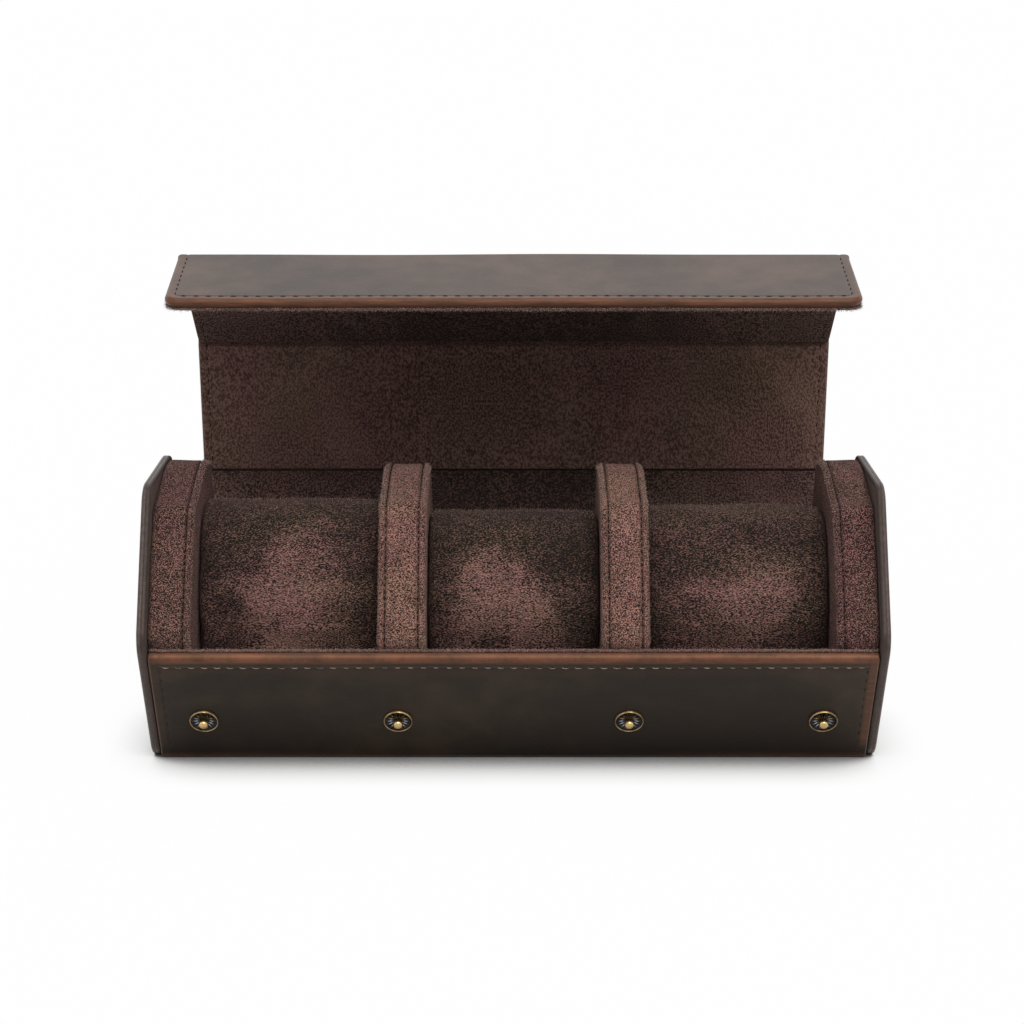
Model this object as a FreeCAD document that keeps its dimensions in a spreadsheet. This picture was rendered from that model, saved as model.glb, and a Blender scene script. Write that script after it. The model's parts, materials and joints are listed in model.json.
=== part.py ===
import FreeCAD, Part
import math
import os

import Sketcher

# Watch storage case: a hexagonal leather case lying on one flat, open at the top.
# X runs along the case, -Y is the front with the snap studs, Z is up.
# The origin is the middle of the underside. Lengths are millimetres, angles are degrees.

doc = FreeCAD.newDocument("watch_storage_case")

# Driving dimensions
sizes = doc.addObject("Spreadsheet::Sheet", "Sizes")
DRIVING = {
    # Overall form
    "case_length": 248,
    "hexagon_side": 55,
    "end_corner_radius": 7,
    # End panels: a leather cup round a board, closed by a leather facing
    "end_leather": 1.0,
    "end_board": 1.2,
    "end_facing": 0.8,
    "end_rim": 1.2,
    # Wall layers, from the outside in
    "leather": 1.4,
    "board": 1.8,
    "lining": 1.0,
    "wrap_corner_radius": 2.5,
    "side_gap": 0.3,
    "lining_peek": 0.6,
    "board_corner_gap": 0.5,
    # Lid panels and their folds
    "lid_side_gap": 2,
    "lid_rim": 1.2,
    "lining_inset": 0.6,
    "flap_length": 44,
    "flap_gap": 1.4,
    "flap_corner_radius": 5,
    "sharpest_fold": 80,
    "back_panel_angle": 28,
    "top_fold_bend": 69,
    "front_fold_bend": 46,
    "flap_fold_bend": 50,
    # Clearances and the overrun of every cut
    "layer_clearance": 0.1,
    "fold_clearance": 0.2,
    "closing_clearance": 0.3,
    "cut_overrun": 2,
    # End pads and dividers
    "pad_thickness": 14,
    "divider_thickness": 17.6,
    "side_bay_extra": 4.2,
    "padded_cover": 1.2,
    "padded_corner_radius": 4,
    "padded_edge_radius": 1.8,
    "seam_inset": 2.6,
    "seam_width": 0.8,
    "seam_depth": 0.5,
    # Watch pillows
    "pillow_side_gap": 0.9,
    "pillow_top_gap": 8,
    "pillow_depth": 58,
    "pillow_crown_share": 0.76,
    "pillow_shoulder": 7,
    "pillow_shoulder_draw": 1.5,
    "pillow_end_draw": 7,
    "pillow_flat": 1.5,
    "pillow_cover": 1.2,
    "pillow_slit_length": 30,
    "pillow_slit_width": 2,
    # Snap studs on the front wall
    "stud_end_inset": 16.2,
    "stud_inner_offset": 39,
    "stud_height": 3.1,
    "rim_diameter": 10,
    "rim_width": 0.7,
    "rim_height": 0.9,
    "rim_round": 0.3,
    "dish_height": 0.35,
    "post_diameter": 2.2,
    "ball_diameter": 3.4,
    "ball_height": 2,
    "ball_round": 1.1,
    "ball_under_round": 0.4,
    "washer_diameter": 8,
    "washer_thickness": 0.6,
    # Snap sockets in the flap
    "socket_edge_inset": 12,
    "socket_diameter": 7.4,
    "socket_flange_diameter": 8.2,
    "socket_flange": 0.4,
    "socket_bore": 5.4,
    "spring_wire": 0.5,
    "spring_opening": 40,
    "cap_thickness": 0.4,
}
for row, (name, value) in enumerate(DRIVING.items(), start=1):
    sizes.set("A%d" % row, name)
    sizes.set("B%d" % row, str(value))
    sizes.setAlias("B%d" % row, name)
doc.recompute()

# Layout worked out from the driving dimensions.
# A wall's place is given in its own frame, centred on the hexagon: a distance out from the
# middle (an apothem) and a distance along the wall from its mid-line.
layout = doc.addObject("Spreadsheet::Sheet", "Layout")
WORKED_OUT = {
    "apothem": "Sizes.hexagon_side * sqrt(3) / 2",
    "end_thickness": "Sizes.end_leather + Sizes.end_board + Sizes.end_facing",
    "inner_half_length": "Sizes.case_length / 2 - Layout.end_thickness",
    "wrap_length": "2 * (Layout.inner_half_length - Sizes.side_gap)",
    "lid_width": "2 * (Layout.inner_half_length - Sizes.lid_side_gap)",
    "stud_outer_offset": "Layout.wrap_length / 2 - Sizes.stud_end_inset",
    "wall_thickness": "Sizes.leather + Sizes.board + Sizes.lining",
    # Apothems of the layers' inner faces
    "leather_apothem": "Layout.apothem - Sizes.leather",
    "board_apothem": "Layout.leather_apothem - Sizes.board",
    "lining_apothem": "Layout.board_apothem - Sizes.lining",
    "padded_side": "(Layout.lining_apothem - Sizes.closing_clearance) * 2 / sqrt(3)",
    # Front wall: its rim leaves room for the closed lid, and the lining stands above the leather
    "wall_corner": "Layout.apothem / sqrt(3)",
    "rim_drop": "(Layout.wall_thickness + Sizes.closing_clearance) / sin(60deg)",
    "lining_rim": "Layout.wall_corner - Layout.rim_drop",
    "leather_rim": "Layout.lining_rim - Sizes.lining_peek",
    "board_end": "Layout.board_apothem / sqrt(3) - Sizes.board_corner_gap",
    # Folds: each axis lies on the inner face of the leather
    "fold_pitch": "Layout.leather_apothem * 2 / sqrt(3)",
    "flap_step": "Sizes.flap_gap + Layout.wall_thickness",
    "front_pitch": "Layout.fold_pitch + Layout.flap_step / sin(60deg)",
    "hinge_wall_place": "Layout.leather_apothem / sqrt(3)",
    "leather_fold_gap": "Sizes.leather + Sizes.fold_clearance",
    "board_fold_gap": "Sizes.board * tan(Sizes.sharpest_fold * 0.5deg) + Sizes.closing_clearance",
    "lining_fold_gap": "(Sizes.board + Sizes.lining) * tan(Sizes.sharpest_fold * 0.5deg)"
    " + Sizes.closing_clearance",
    # Open lid: direction of each panel from +Y towards +Z, and the place of each fold
    "top_angle": "Sizes.back_panel_angle + Sizes.top_fold_bend",
    "front_angle": "Layout.top_angle + Sizes.front_fold_bend",
    "flap_angle": "Layout.front_angle + Sizes.flap_fold_bend",
    "hinge_depth": "Layout.fold_pitch",
    "hinge_height": "Layout.apothem",
    "top_fold_depth": "Layout.hinge_depth + Layout.fold_pitch * cos(Sizes.back_panel_angle * 1deg)",
    "top_fold_height": "Layout.hinge_height + Layout.fold_pitch * sin(Sizes.back_panel_angle * 1deg)",
    "front_fold_depth": "Layout.top_fold_depth + Layout.fold_pitch * cos(Layout.top_angle * 1deg)",
    "front_fold_height": "Layout.top_fold_height + Layout.fold_pitch * sin(Layout.top_angle * 1deg)",
    "flap_fold_depth": "Layout.front_fold_depth + Layout.front_pitch * cos(Layout.front_angle * 1deg)",
    "flap_fold_height": "Layout.front_fold_height + Layout.front_pitch * sin(Layout.front_angle * 1deg)",
    # The studs meet the sockets when the flap lies on the front wall
    "flap_start": "Layout.wall_corner - Layout.flap_step / sin(60deg) * cos(60deg)"
    " - Sizes.leather * tan(30deg)",
    "socket_place": "Sizes.flap_length - Sizes.socket_edge_inset",
    "stud_place": "Layout.flap_start - Layout.socket_place",
    # Pillow bays: the dividers share out the length between the end pads
    "pad_face": "Layout.inner_half_length - Sizes.pad_thickness",
    "middle_bay_width": "2 * (Layout.pad_face - Sizes.divider_thickness - Sizes.side_bay_extra) / 3",
    "divider_offset": "(Layout.middle_bay_width + Sizes.divider_thickness) / 2",
    "divider_face": "Layout.divider_offset + Sizes.divider_thickness / 2",
    "side_bay": "(Layout.pad_face + Layout.divider_face) / 2",
    "pillow_width": "Layout.middle_bay_width - 2 * Sizes.pillow_side_gap",
    "pillow_height": "2 * Layout.lining_apothem - Sizes.closing_clearance - Sizes.pillow_top_gap"
    " + Sizes.pillow_flat",
}
for row, (name, formula) in enumerate(WORKED_OUT.items(), start=1):
    layout.set("A%d" % row, name)
    layout.setAlias("B%d" % row, name)
    layout.set("B%d" % row, "=" + formula.replace("Layout.", ""))
doc.recompute()

STUD_STATIONS = (
    "-Layout.stud_outer_offset",
    "-Sizes.stud_inner_offset",
    "Sizes.stud_inner_offset",
    "Layout.stud_outer_offset",
)
SAME_PLACE = 1e-6
parts = []


def number(expression):
    """Value of an expression in the sheets' terms."""
    value = layout.evalExpression(str(expression))
    return float(getattr(value, "Value", value))


def new_body(label):
    """A body that becomes one node."""
    body = doc.addObject("PartDesign::Body", label)
    body.Label = label
    parts.append(body)
    return body


def new_sketch(body, plane, height="0"):
    """A sketch on one of the body's own planes, raised along that plane's normal."""
    sketch = body.newObject("Sketcher::SketchObject", body.Label + "_sketch")
    origin_plane = next(item for item in body.Origin.OriginFeatures if item.Role == plane)
    sketch.AttachmentSupport = (origin_plane, "")
    sketch.MapMode = "FlatFace"
    sketch.setExpression("AttachmentOffset.Base.z", height)
    return sketch


def bind(sketch, kind, value, *where):
    """Adds a dimension whose value follows an expression."""
    index = sketch.addConstraint(Sketcher.Constraint(kind, *where, number(value)))
    sketch.setExpression("Constraints[%d]" % index, value)


def pin_point(sketch, curve, end, corner):
    """Holds one end of a curve at a pair of expressions."""
    for kind, value in zip(("DistanceX", "DistanceY"), corner):
        bind(sketch, kind, value, -1, 1, curve, end)


def draw_polygon(sketch, corners):
    """Closed outline of straight lines through pairs of expressions."""
    places = [FreeCAD.Vector(number(across), number(up), 0) for across, up in corners]
    lines = []
    for start, end in zip(places, places[1:] + places[:1]):
        lines.append(sketch.addGeometry(Part.LineSegment(start, end), False))
    for line, following in zip(lines, lines[1:] + lines[:1]):
        sketch.addConstraint(Sketcher.Constraint("Coincident", line, 2, following, 1))
    for line, corner in zip(lines, corners):
        pin_point(sketch, line, 1, corner)


def draw_rectangle(sketch, left, right, low, high):
    """Rectangle between expressions."""
    draw_polygon(sketch, [(left, low), (right, low), (right, high), (left, high)])


def draw_hexagon(sketch, side, radius):
    """Regular hexagon on a flat, centred at the case's middle, with every corner rounded."""
    starts = []
    ends = []
    for corner in range(6):
        angle = 60 * corner
        across = "(%s) * cos(%ddeg)" % (side, angle)
        up = "Layout.apothem + (%s) * sin(%ddeg)" % (side, angle)
        reach = "(%s) / sqrt(3)" % radius
        starts.append((
            "%s + %s * cos(%ddeg)" % (across, reach, angle + 120),
            "%s + %s * sin(%ddeg)" % (up, reach, angle + 120),
        ))
        ends.append((
            "%s + %s * cos(%ddeg)" % (across, reach, angle - 120),
            "%s + %s * sin(%ddeg)" % (up, reach, angle - 120),
        ))
    lines = []
    for corner in range(6):
        start = FreeCAD.Vector(*[number(value) for value in starts[corner]], 0)
        end = FreeCAD.Vector(*[number(value) for value in ends[(corner + 1) % 6]], 0)
        lines.append(sketch.addGeometry(Part.LineSegment(start, end), False))
        pin_point(sketch, lines[-1], 1, starts[corner])
        pin_point(sketch, lines[-1], 2, ends[(corner + 1) % 6])
    for corner in range(6):
        rounding = number(radius)
        reach = number(side) - rounding / math.cos(math.pi / 6)
        turn = math.pi / 3 * corner
        middle = FreeCAD.Vector(reach * math.cos(turn), number("Layout.apothem") + reach * math.sin(turn), 0)
        circle = Part.Circle(middle, FreeCAD.Vector(0, 0, 1), rounding)
        arc = Part.ArcOfCircle(circle, turn - math.pi / 6, turn + math.pi / 6)
        index = sketch.addGeometry(arc, False)
        sketch.addConstraint(Sketcher.Constraint("Coincident", lines[corner - 1], 2, index, 1))
        sketch.addConstraint(Sketcher.Constraint("Coincident", index, 2, lines[corner], 1))
        bind(sketch, "Radius", radius, index)


def draw_circles(sketch, diameter, along):
    """One circle at each snap station, at the same distance along the wall."""
    for station in STUD_STATIONS:
        middle = FreeCAD.Vector(number(station), number(along), 0)
        circle = Part.Circle(middle, FreeCAD.Vector(0, 0, 1), number(diameter) / 2)
        index = sketch.addGeometry(circle, False)
        pin_point(sketch, index, 3, (station, along))
        bind(sketch, "Diameter", diameter, index)


def extrude(body, sketch, kind, length, symmetric=False, reverse=False):
    """Pads or pockets a sketch and makes the result the body's tip."""
    feature = body.newObject("PartDesign::" + kind, body.Label + "_" + kind.lower())
    feature.Profile = sketch
    feature.setExpression("Length", length)
    feature.SideType = "Symmetric" if symmetric else "One side"
    feature.Reversed = reverse
    body.Tip = feature
    return feature


def round_edges(body, references, radius):
    """Rounds edges or whole faces of the body's tip."""
    base = body.Tip
    fillet = body.newObject("PartDesign::Fillet", body.Label + "_fillet")
    fillet.Base = (base, references)
    fillet.setExpression("Radius", radius)
    body.Tip = fillet
    return fillet


def faces_towards(shape, direction):
    """Names of the flat faces that face a direction."""
    names = []
    for index, face in enumerate(shape.Faces, start=1):
        normal = face.normalAt(0, 0)
        if (normal - direction).Length < SAME_PLACE:
            names.append("Face%d" % index)
    return names


def place(body, turn, depth="0", height="0"):
    """Turns a body about X by an expression in degrees and moves it to a depth and height."""
    body.Placement = FreeCAD.Placement(
        FreeCAD.Vector(0, 0, 0), FreeCAD.Rotation(FreeCAD.Vector(1, 0, 0), number(turn))
    )
    body.setExpression("Placement.Rotation.Angle", turn)
    body.setExpression("Placement.Base.y", depth)
    body.setExpression("Placement.Base.z", height)


def place_on_wall(body, turn):
    """Puts a piece drawn in a wall's frame on that wall: +Z of the frame points outwards."""
    place(body, turn, height="Layout.apothem")


FRONT_WALL_ANGLE = "120"
BOTTOM_ANGLE = "180"
BACK_WALL_ANGLE = "240"


def front_point(apothem, along):
    """Depth and height of a point of the front wall, as expressions."""
    depth = "-(%s) * sin(60deg) - (%s) * cos(60deg)" % (apothem, along)
    height = "Layout.apothem - (%s) * cos(60deg) + (%s) * sin(60deg)" % (apothem, along)
    return depth, height


def back_point(apothem, along):
    """Depth and height of a point of the back wall, as expressions."""
    depth, height = front_point(apothem, along)
    return "-(%s)" % depth, height


def bottom_corner(apothem, side):
    """Corner between the underside and the front wall (side -1) or the back wall (side 1)."""
    return "%d * (%s) / sqrt(3)" % (side, apothem), "Layout.apothem - (%s)" % apothem


# End panels, made for the right end and turned half round for the left
def turn_to_left(body):
    """Turns a right-hand piece about Z, which carries it to the left end."""
    body.Placement = FreeCAD.Placement(
        FreeCAD.Vector(0, 0, 0), FreeCAD.Rotation(FreeCAD.Vector(0, 0, 1), 180)
    )


def make_end_leather(label):
    """Leather cup: the outer face and the edge turned over the board."""
    body = new_body(label)
    face = new_sketch(body, "YZ_Plane", "Sizes.case_length / 2 - Sizes.end_leather")
    draw_hexagon(face, "Sizes.hexagon_side", "Sizes.end_corner_radius")
    extrude(body, face, "Pad", "Sizes.end_leather")
    rim = new_sketch(body, "YZ_Plane", "Layout.inner_half_length")
    draw_hexagon(rim, "Sizes.hexagon_side", "Sizes.end_corner_radius")
    draw_hexagon(rim, END_INNER_SIDE, "Sizes.end_corner_radius - Sizes.end_rim")
    extrude(body, rim, "Pad", "Sizes.end_board + Sizes.end_facing")
    return body


def make_end_plate(label, near, thickness):
    """A flat plate inside the leather cup."""
    body = new_body(label)
    outline = new_sketch(body, "YZ_Plane", near)
    side = END_INNER_SIDE + " - Sizes.layer_clearance * 2 / sqrt(3)"
    draw_hexagon(outline, side, "Sizes.end_corner_radius - Sizes.end_rim")
    extrude(body, outline, "Pad", thickness)
    return body


END_INNER_SIDE = "Sizes.hexagon_side - Sizes.end_rim * 2 / sqrt(3)"
for side_name in ("left", "right"):
    end_pieces = [
        make_end_leather(side_name + "_end_leather"),
        make_end_plate(
            side_name + "_end_board", "Layout.inner_half_length + Sizes.end_facing", "Sizes.end_board"
        ),
        make_end_plate(side_name + "_end_facing", "Layout.inner_half_length", "Sizes.end_facing"),
    ]
    if side_name == "left":
        for piece in end_pieces:
            turn_to_left(piece)


# Base: one strip of leather folded up at the front and the back, boards inside it, a suede lining
def make_base_leather():
    """Leather strip, turned over the front board's top edge, with holes for the snap posts."""
    body = new_body("base_leather")
    profile = new_sketch(body, "YZ_Plane")
    outer = "Layout.apothem"
    inner = "Layout.leather_apothem"
    turned = "Layout.board_apothem"
    under_edge = "Layout.leather_rim - Sizes.leather"
    back_end = "Layout.hinge_wall_place - Layout.leather_fold_gap"
    draw_polygon(profile, [
        front_point(outer, "Layout.leather_rim"),
        bottom_corner(outer, -1),
        bottom_corner(outer, 1),
        back_point(outer, back_end),
        back_point(inner, back_end),
        bottom_corner(inner, 1),
        bottom_corner(inner, -1),
        front_point(inner, under_edge),
        front_point(turned, under_edge),
        front_point(turned, "Layout.leather_rim"),
    ])
    strip = extrude(body, profile, "Pad", "Layout.wrap_length", symmetric=True)
    doc.recompute()
    fold_edges = []
    for index, edge in enumerate(strip.Shape.Edges, start=1):
        middle = edge.CenterOfMass
        if abs(middle.x) < SAME_PLACE and abs(middle.z) < SAME_PLACE:
            fold_edges.append("Edge%d" % index)
    round_edges(body, fold_edges, "Sizes.wrap_corner_radius")
    holes = new_sketch(body, "XY_Plane")
    holes.AttachmentOffset = FreeCAD.Placement(
        FreeCAD.Vector(0, 0, 0), FreeCAD.Rotation(FreeCAD.Vector(1, 0, 0), number(FRONT_WALL_ANGLE))
    )
    holes.setExpression("AttachmentOffset.Base.y", "-Layout.apothem * sin(60deg)")
    holes.setExpression("AttachmentOffset.Base.z", "Layout.apothem - Layout.apothem * cos(60deg)")
    draw_circles(holes, POST_HOLE, "Layout.stud_place")
    extrude(body, holes, "Pocket", "2 * (Sizes.leather + Sizes.cut_overrun)", symmetric=True)
    return body


def make_wall_board(label, turn, low, high, with_studs=False):
    """Stiff board of one wall, drawn in the wall's frame."""
    body = new_body(label)
    outline = new_sketch(body, "XY_Plane", "Layout.board_apothem")
    draw_rectangle(outline, "-Layout.wrap_length / 2", "Layout.wrap_length / 2", low, high)
    extrude(body, outline, "Pad", "Sizes.board")
    if with_studs:
        holes = new_sketch(body, "XY_Plane", "Layout.leather_apothem + Sizes.cut_overrun")
        draw_circles(holes, POST_HOLE, "Layout.stud_place")
        extrude(body, holes, "Pocket", "Sizes.board + 2 * Sizes.cut_overrun")
        seats = new_sketch(body, "XY_Plane", "Layout.board_apothem + " + WASHER_SEAT_DEPTH)
        draw_circles(seats, WASHER_SEAT, "Layout.stud_place")
        extrude(body, seats, "Pocket", WASHER_SEAT_DEPTH + " + Sizes.cut_overrun")
    place_on_wall(body, turn)
    return body


def make_base_lining():
    """Suede lining of the front wall, floor and back wall in one strip."""
    body = new_body("base_lining")
    profile = new_sketch(body, "YZ_Plane")
    outer = "Layout.board_apothem"
    inner = "Layout.lining_apothem"
    back_end = "Layout.hinge_wall_place - Layout.lining_fold_gap"
    draw_polygon(profile, [
        front_point(outer, "Layout.lining_rim"),
        bottom_corner(outer, -1),
        bottom_corner(outer, 1),
        back_point(outer, back_end),
        back_point(inner, back_end),
        bottom_corner(inner, 1),
        bottom_corner(inner, -1),
        front_point(inner, "Layout.lining_rim"),
    ])
    extrude(body, profile, "Pad", "Layout.wrap_length", symmetric=True)
    return body


POST_HOLE = "Sizes.post_diameter + 2 * Sizes.layer_clearance"
WASHER_SEAT = "Sizes.washer_diameter + 2 * Sizes.layer_clearance"
WASHER_SEAT_DEPTH = "Sizes.washer_thickness"
make_base_leather()
make_wall_board(
    "front_wall_board",
    FRONT_WALL_ANGLE,
    "-Layout.board_end",
    "Layout.leather_rim - Sizes.leather - Sizes.layer_clearance",
    with_studs=True,
)
make_wall_board("bottom_board", BOTTOM_ANGLE, "-Layout.board_end", "Layout.board_end")
make_wall_board(
    "back_wall_board",
    BACK_WALL_ANGLE,
    "-(Layout.hinge_wall_place - Layout.board_fold_gap)",
    "Layout.board_end",
)
make_base_lining()


# Snap studs: four of each piece, drawn in the front wall's frame
def make_stations(label, along, rings):
    """Four like pieces, each a stack of discs or rings: diameter, bore or None, foot, height."""
    body = new_body(label)
    for diameter, bore, foot, height in rings:
        outline = new_sketch(body, "XY_Plane", foot)
        draw_circles(outline, diameter, along)
        if bore:
            draw_circles(outline, bore, along)
        extrude(body, outline, "Pad", height)
    doc.recompute()
    return body


def edges_at(shape, height, diameter):
    """Names of the full circles of a given diameter at a given height."""
    names = []
    for index, edge in enumerate(shape.Edges, start=1):
        if edge.Curve.TypeId != "Part::GeomCircle":
            continue
        same_height = abs(edge.CenterOfMass.z - height) < SAME_PLACE
        same_size = abs(2 * edge.Curve.Radius - diameter) < SAME_PLACE
        if same_height and same_size:
            names.append("Edge%d" % index)
    return names


RIM_BORE = "Sizes.rim_diameter - 2 * Sizes.rim_width"
stud_rims = make_stations("stud_rims", "Layout.stud_place", [
    ("Sizes.rim_diameter", RIM_BORE, "Layout.apothem", "Sizes.rim_height"),
])
rim_top = number("Layout.apothem + Sizes.rim_height")
rim_edges = edges_at(stud_rims.Tip.Shape, rim_top, number("Sizes.rim_diameter"))
round_edges(stud_rims, rim_edges, "Sizes.rim_round")
stud_dishes = make_stations("stud_dishes", "Layout.stud_place", [
    (RIM_BORE + " - 2 * Sizes.layer_clearance", POST_HOLE, "Layout.apothem", "Sizes.dish_height"),
])
post_foot = "Layout.board_apothem"
ball_foot = "Layout.apothem + Sizes.stud_height - Sizes.ball_height"
stud_posts = make_stations("stud_posts", "Layout.stud_place", [
    ("Sizes.post_diameter", None, post_foot, "%s - %s" % (ball_foot, post_foot)),
    ("Sizes.ball_diameter", None, ball_foot, "Sizes.ball_height"),
])
ball_top = ball_foot + " + Sizes.ball_height"
for ball_edge, ball_radius in ((ball_foot, "Sizes.ball_under_round"), (ball_top, "Sizes.ball_round")):
    ball_edges = edges_at(stud_posts.Tip.Shape, number(ball_edge), number("Sizes.ball_diameter"))
    round_edges(stud_posts, ball_edges, ball_radius)
    doc.recompute()
stud_washers = make_stations("stud_washers", "Layout.stud_place", [
    ("Sizes.washer_diameter", POST_HOLE, "Layout.board_apothem", "Sizes.washer_thickness"),
])
for stud_piece in (stud_rims, stud_dishes, stud_posts, stud_washers):
    place_on_wall(stud_piece, FRONT_WALL_ANGLE)


# End pads and dividers: foam cores in suede covers with a sewn seam near each long edge
def cut_seam(body, place_across):
    """Shallow channel round the edge where the cover's pieces are sewn together."""
    channel = new_sketch(body, "YZ_Plane", place_across)
    draw_hexagon(channel, "Layout.padded_side + Sizes.cut_overrun", "Sizes.padded_corner_radius")
    inner_side = "Layout.padded_side - Sizes.seam_depth * 2 / sqrt(3)"
    draw_hexagon(channel, inner_side, "Sizes.padded_corner_radius - Sizes.seam_depth")
    extrude(body, channel, "Pocket", "Sizes.seam_width", symmetric=True)


def draw_hollow(sketch, inset, foot):
    """Outline of the space inside a cover: its hexagon drawn in, and run down to a foot."""
    inner = "(Layout.lining_apothem - Sizes.closing_clearance - (%s))" % inset
    side = "(%s) * 2 / sqrt(3)" % inner
    draw_polygon(sketch, [
        ("(%s)" % side, "Layout.apothem"),
        ("(%s) / 2" % side, "Layout.apothem + " + inner),
        ("-(%s) / 2" % side, "Layout.apothem + " + inner),
        ("-(%s)" % side, "Layout.apothem"),
        ("-(%s) / 2" % side, "Layout.apothem - " + inner),
        ("-(%s) / 2" % side, foot),
        ("(%s) / 2" % side, foot),
        ("(%s) / 2" % side, "Layout.apothem - " + inner),
    ])


def make_padded_cover(label, middle, thickness, seams):
    """Suede cover, open underneath where it is glued down, round a hexagonal core."""
    body = new_body(label)
    outline = new_sketch(body, "YZ_Plane", middle)
    draw_hexagon(outline, "Layout.padded_side", "Sizes.padded_corner_radius")
    block = extrude(body, outline, "Pad", thickness, symmetric=True)
    doc.recompute()
    soft_faces = faces_towards(block.Shape, FreeCAD.Vector(-1, 0, 0))
    if len(seams) == 2:
        soft_faces += faces_towards(block.Shape, FreeCAD.Vector(1, 0, 0))
    round_edges(body, soft_faces, "Sizes.padded_edge_radius")
    for seam in seams:
        cut_seam(body, seam)
    hollow = new_sketch(body, "YZ_Plane", middle)
    draw_hollow(hollow, "Sizes.padded_cover", PADDED_FOOT + " - Sizes.cut_overrun")
    extrude(body, hollow, "Pocket", "%s - 2 * Sizes.padded_cover" % thickness, symmetric=True)
    return body


def make_padded_foam(label, middle, thickness):
    """Foam core that fills the cover."""
    body = new_body(label)
    outline = new_sketch(body, "YZ_Plane", middle)
    draw_hollow(outline, "Sizes.padded_cover + Sizes.layer_clearance", PADDED_FOOT)
    length = "%s - 2 * (Sizes.padded_cover + Sizes.layer_clearance)" % thickness
    extrude(body, outline, "Pad", length, symmetric=True)
    return body


PADDED_FOOT = "Layout.apothem - Layout.lining_apothem + Sizes.closing_clearance"
PAD_MIDDLE = "Layout.inner_half_length - Sizes.pad_thickness / 2"
PAD_SEAM = "Layout.pad_face + Sizes.seam_inset"
DIVIDER_SEAMS = (
    "Layout.divider_offset - Sizes.divider_thickness / 2 + Sizes.seam_inset",
    "Layout.divider_offset + Sizes.divider_thickness / 2 - Sizes.seam_inset",
)
for side_name in ("left", "right"):
    padded_pieces = [
        make_padded_cover(side_name + "_pad_cover", PAD_MIDDLE, "Sizes.pad_thickness", (PAD_SEAM,)),
        make_padded_foam(side_name + "_pad_foam", PAD_MIDDLE, "Sizes.pad_thickness"),
        make_padded_cover(
            side_name + "_divider_cover", "Layout.divider_offset", "Sizes.divider_thickness", DIVIDER_SEAMS
        ),
        make_padded_foam(side_name + "_divider_foam", "Layout.divider_offset", "Sizes.divider_thickness"),
    ]
    if side_name == "left":
        for piece in padded_pieces:
            turn_to_left(piece)


# Lid: four stiff panels joined by folds, drawn flat from the fold that carries them.
# In a panel's frame X is across, Y runs away from the fold and +Z is the lined face.
def round_free_corners(body, half, end, radius):
    """Rounds the two upright edges at a half width and an end of a panel."""
    doc.recompute()
    corners = []
    for index, edge in enumerate(body.Tip.Shape.Edges, start=1):
        middle = edge.CenterOfMass
        at_side = abs(abs(middle.x) - number(half)) < SAME_PLACE
        at_end = abs(middle.y - number(end)) < SAME_PLACE
        if at_side and at_end:
            corners.append("Edge%d" % index)
    round_edges(body, corners, radius)


def make_panel_leather(label, pitch, free_edge=False):
    """Leather of one panel, with its side edges turned up round the board."""
    body = new_body(label)
    half = "Layout.lid_width / 2"
    end = pitch if free_edge else "%s - Layout.leather_fold_gap" % pitch
    rim_end = pitch if free_edge else "%s - Layout.board_fold_gap" % pitch
    sheet = new_sketch(body, "XY_Plane", "-Sizes.leather")
    draw_rectangle(sheet, "-" + half, half, "Layout.leather_fold_gap", end)
    extrude(body, sheet, "Pad", "Sizes.leather")
    rim = new_sketch(body, "XY_Plane")
    inner = "%s - Sizes.lid_rim" % half
    start = "Layout.board_fold_gap"
    if free_edge:
        draw_polygon(rim, [
            ("-" + half, start),
            ("-(%s)" % inner, start),
            ("-(%s)" % inner, "%s - Sizes.lid_rim" % rim_end),
            (inner, "%s - Sizes.lid_rim" % rim_end),
            (inner, start),
            (half, start),
            (half, rim_end),
            ("-" + half, rim_end),
        ])
    else:
        draw_rectangle(rim, "-" + half, "-(%s)" % inner, start, rim_end)
        draw_rectangle(rim, inner, half, start, rim_end)
    extrude(body, rim, "Pad", "Sizes.board")
    if free_edge:
        turned = "Sizes.flap_corner_radius - Sizes.lid_rim"
        round_free_corners(body, inner, "%s - Sizes.lid_rim" % rim_end, turned)
        round_free_corners(body, half, rim_end, "Sizes.flap_corner_radius")
    return body


def make_panel_board(label, end, holed=False):
    """Board of one panel, inside the leather's turned edges."""
    body = new_body(label)
    half = "Layout.lid_width / 2 - Sizes.lid_rim - Sizes.layer_clearance"
    outline = new_sketch(body, "XY_Plane")
    draw_rectangle(outline, "-(%s)" % half, half, "Layout.board_fold_gap", end)
    extrude(body, outline, "Pad", "Sizes.board")
    if holed:
        round_free_corners(body, half, end, "Sizes.flap_corner_radius - Sizes.lid_rim")
        cut_socket_holes(body, "Sizes.board")
    return body


def make_panel_lining(label, end, holed=False):
    """Suede lining of one panel."""
    body = new_body(label)
    half = "Layout.lid_width / 2 - Sizes.lining_inset"
    outline = new_sketch(body, "XY_Plane", "Sizes.board")
    draw_rectangle(outline, "-(%s)" % half, half, "Layout.lining_fold_gap", end)
    extrude(body, outline, "Pad", "Sizes.lining")
    if holed:
        round_free_corners(body, half, end, "Sizes.flap_corner_radius - Sizes.lining_inset")
        cut_socket_holes(body, "Sizes.board + Sizes.lining")
    return body


def cut_socket_holes(body, top):
    """Holes through a flap layer for the snap sockets."""
    holes = new_sketch(body, "XY_Plane", top + " + Sizes.cut_overrun")
    draw_circles(holes, "Sizes.socket_diameter + 2 * Sizes.layer_clearance", "Layout.socket_place")
    extrude(body, holes, "Pocket", top + " + 2 * Sizes.cut_overrun")


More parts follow.
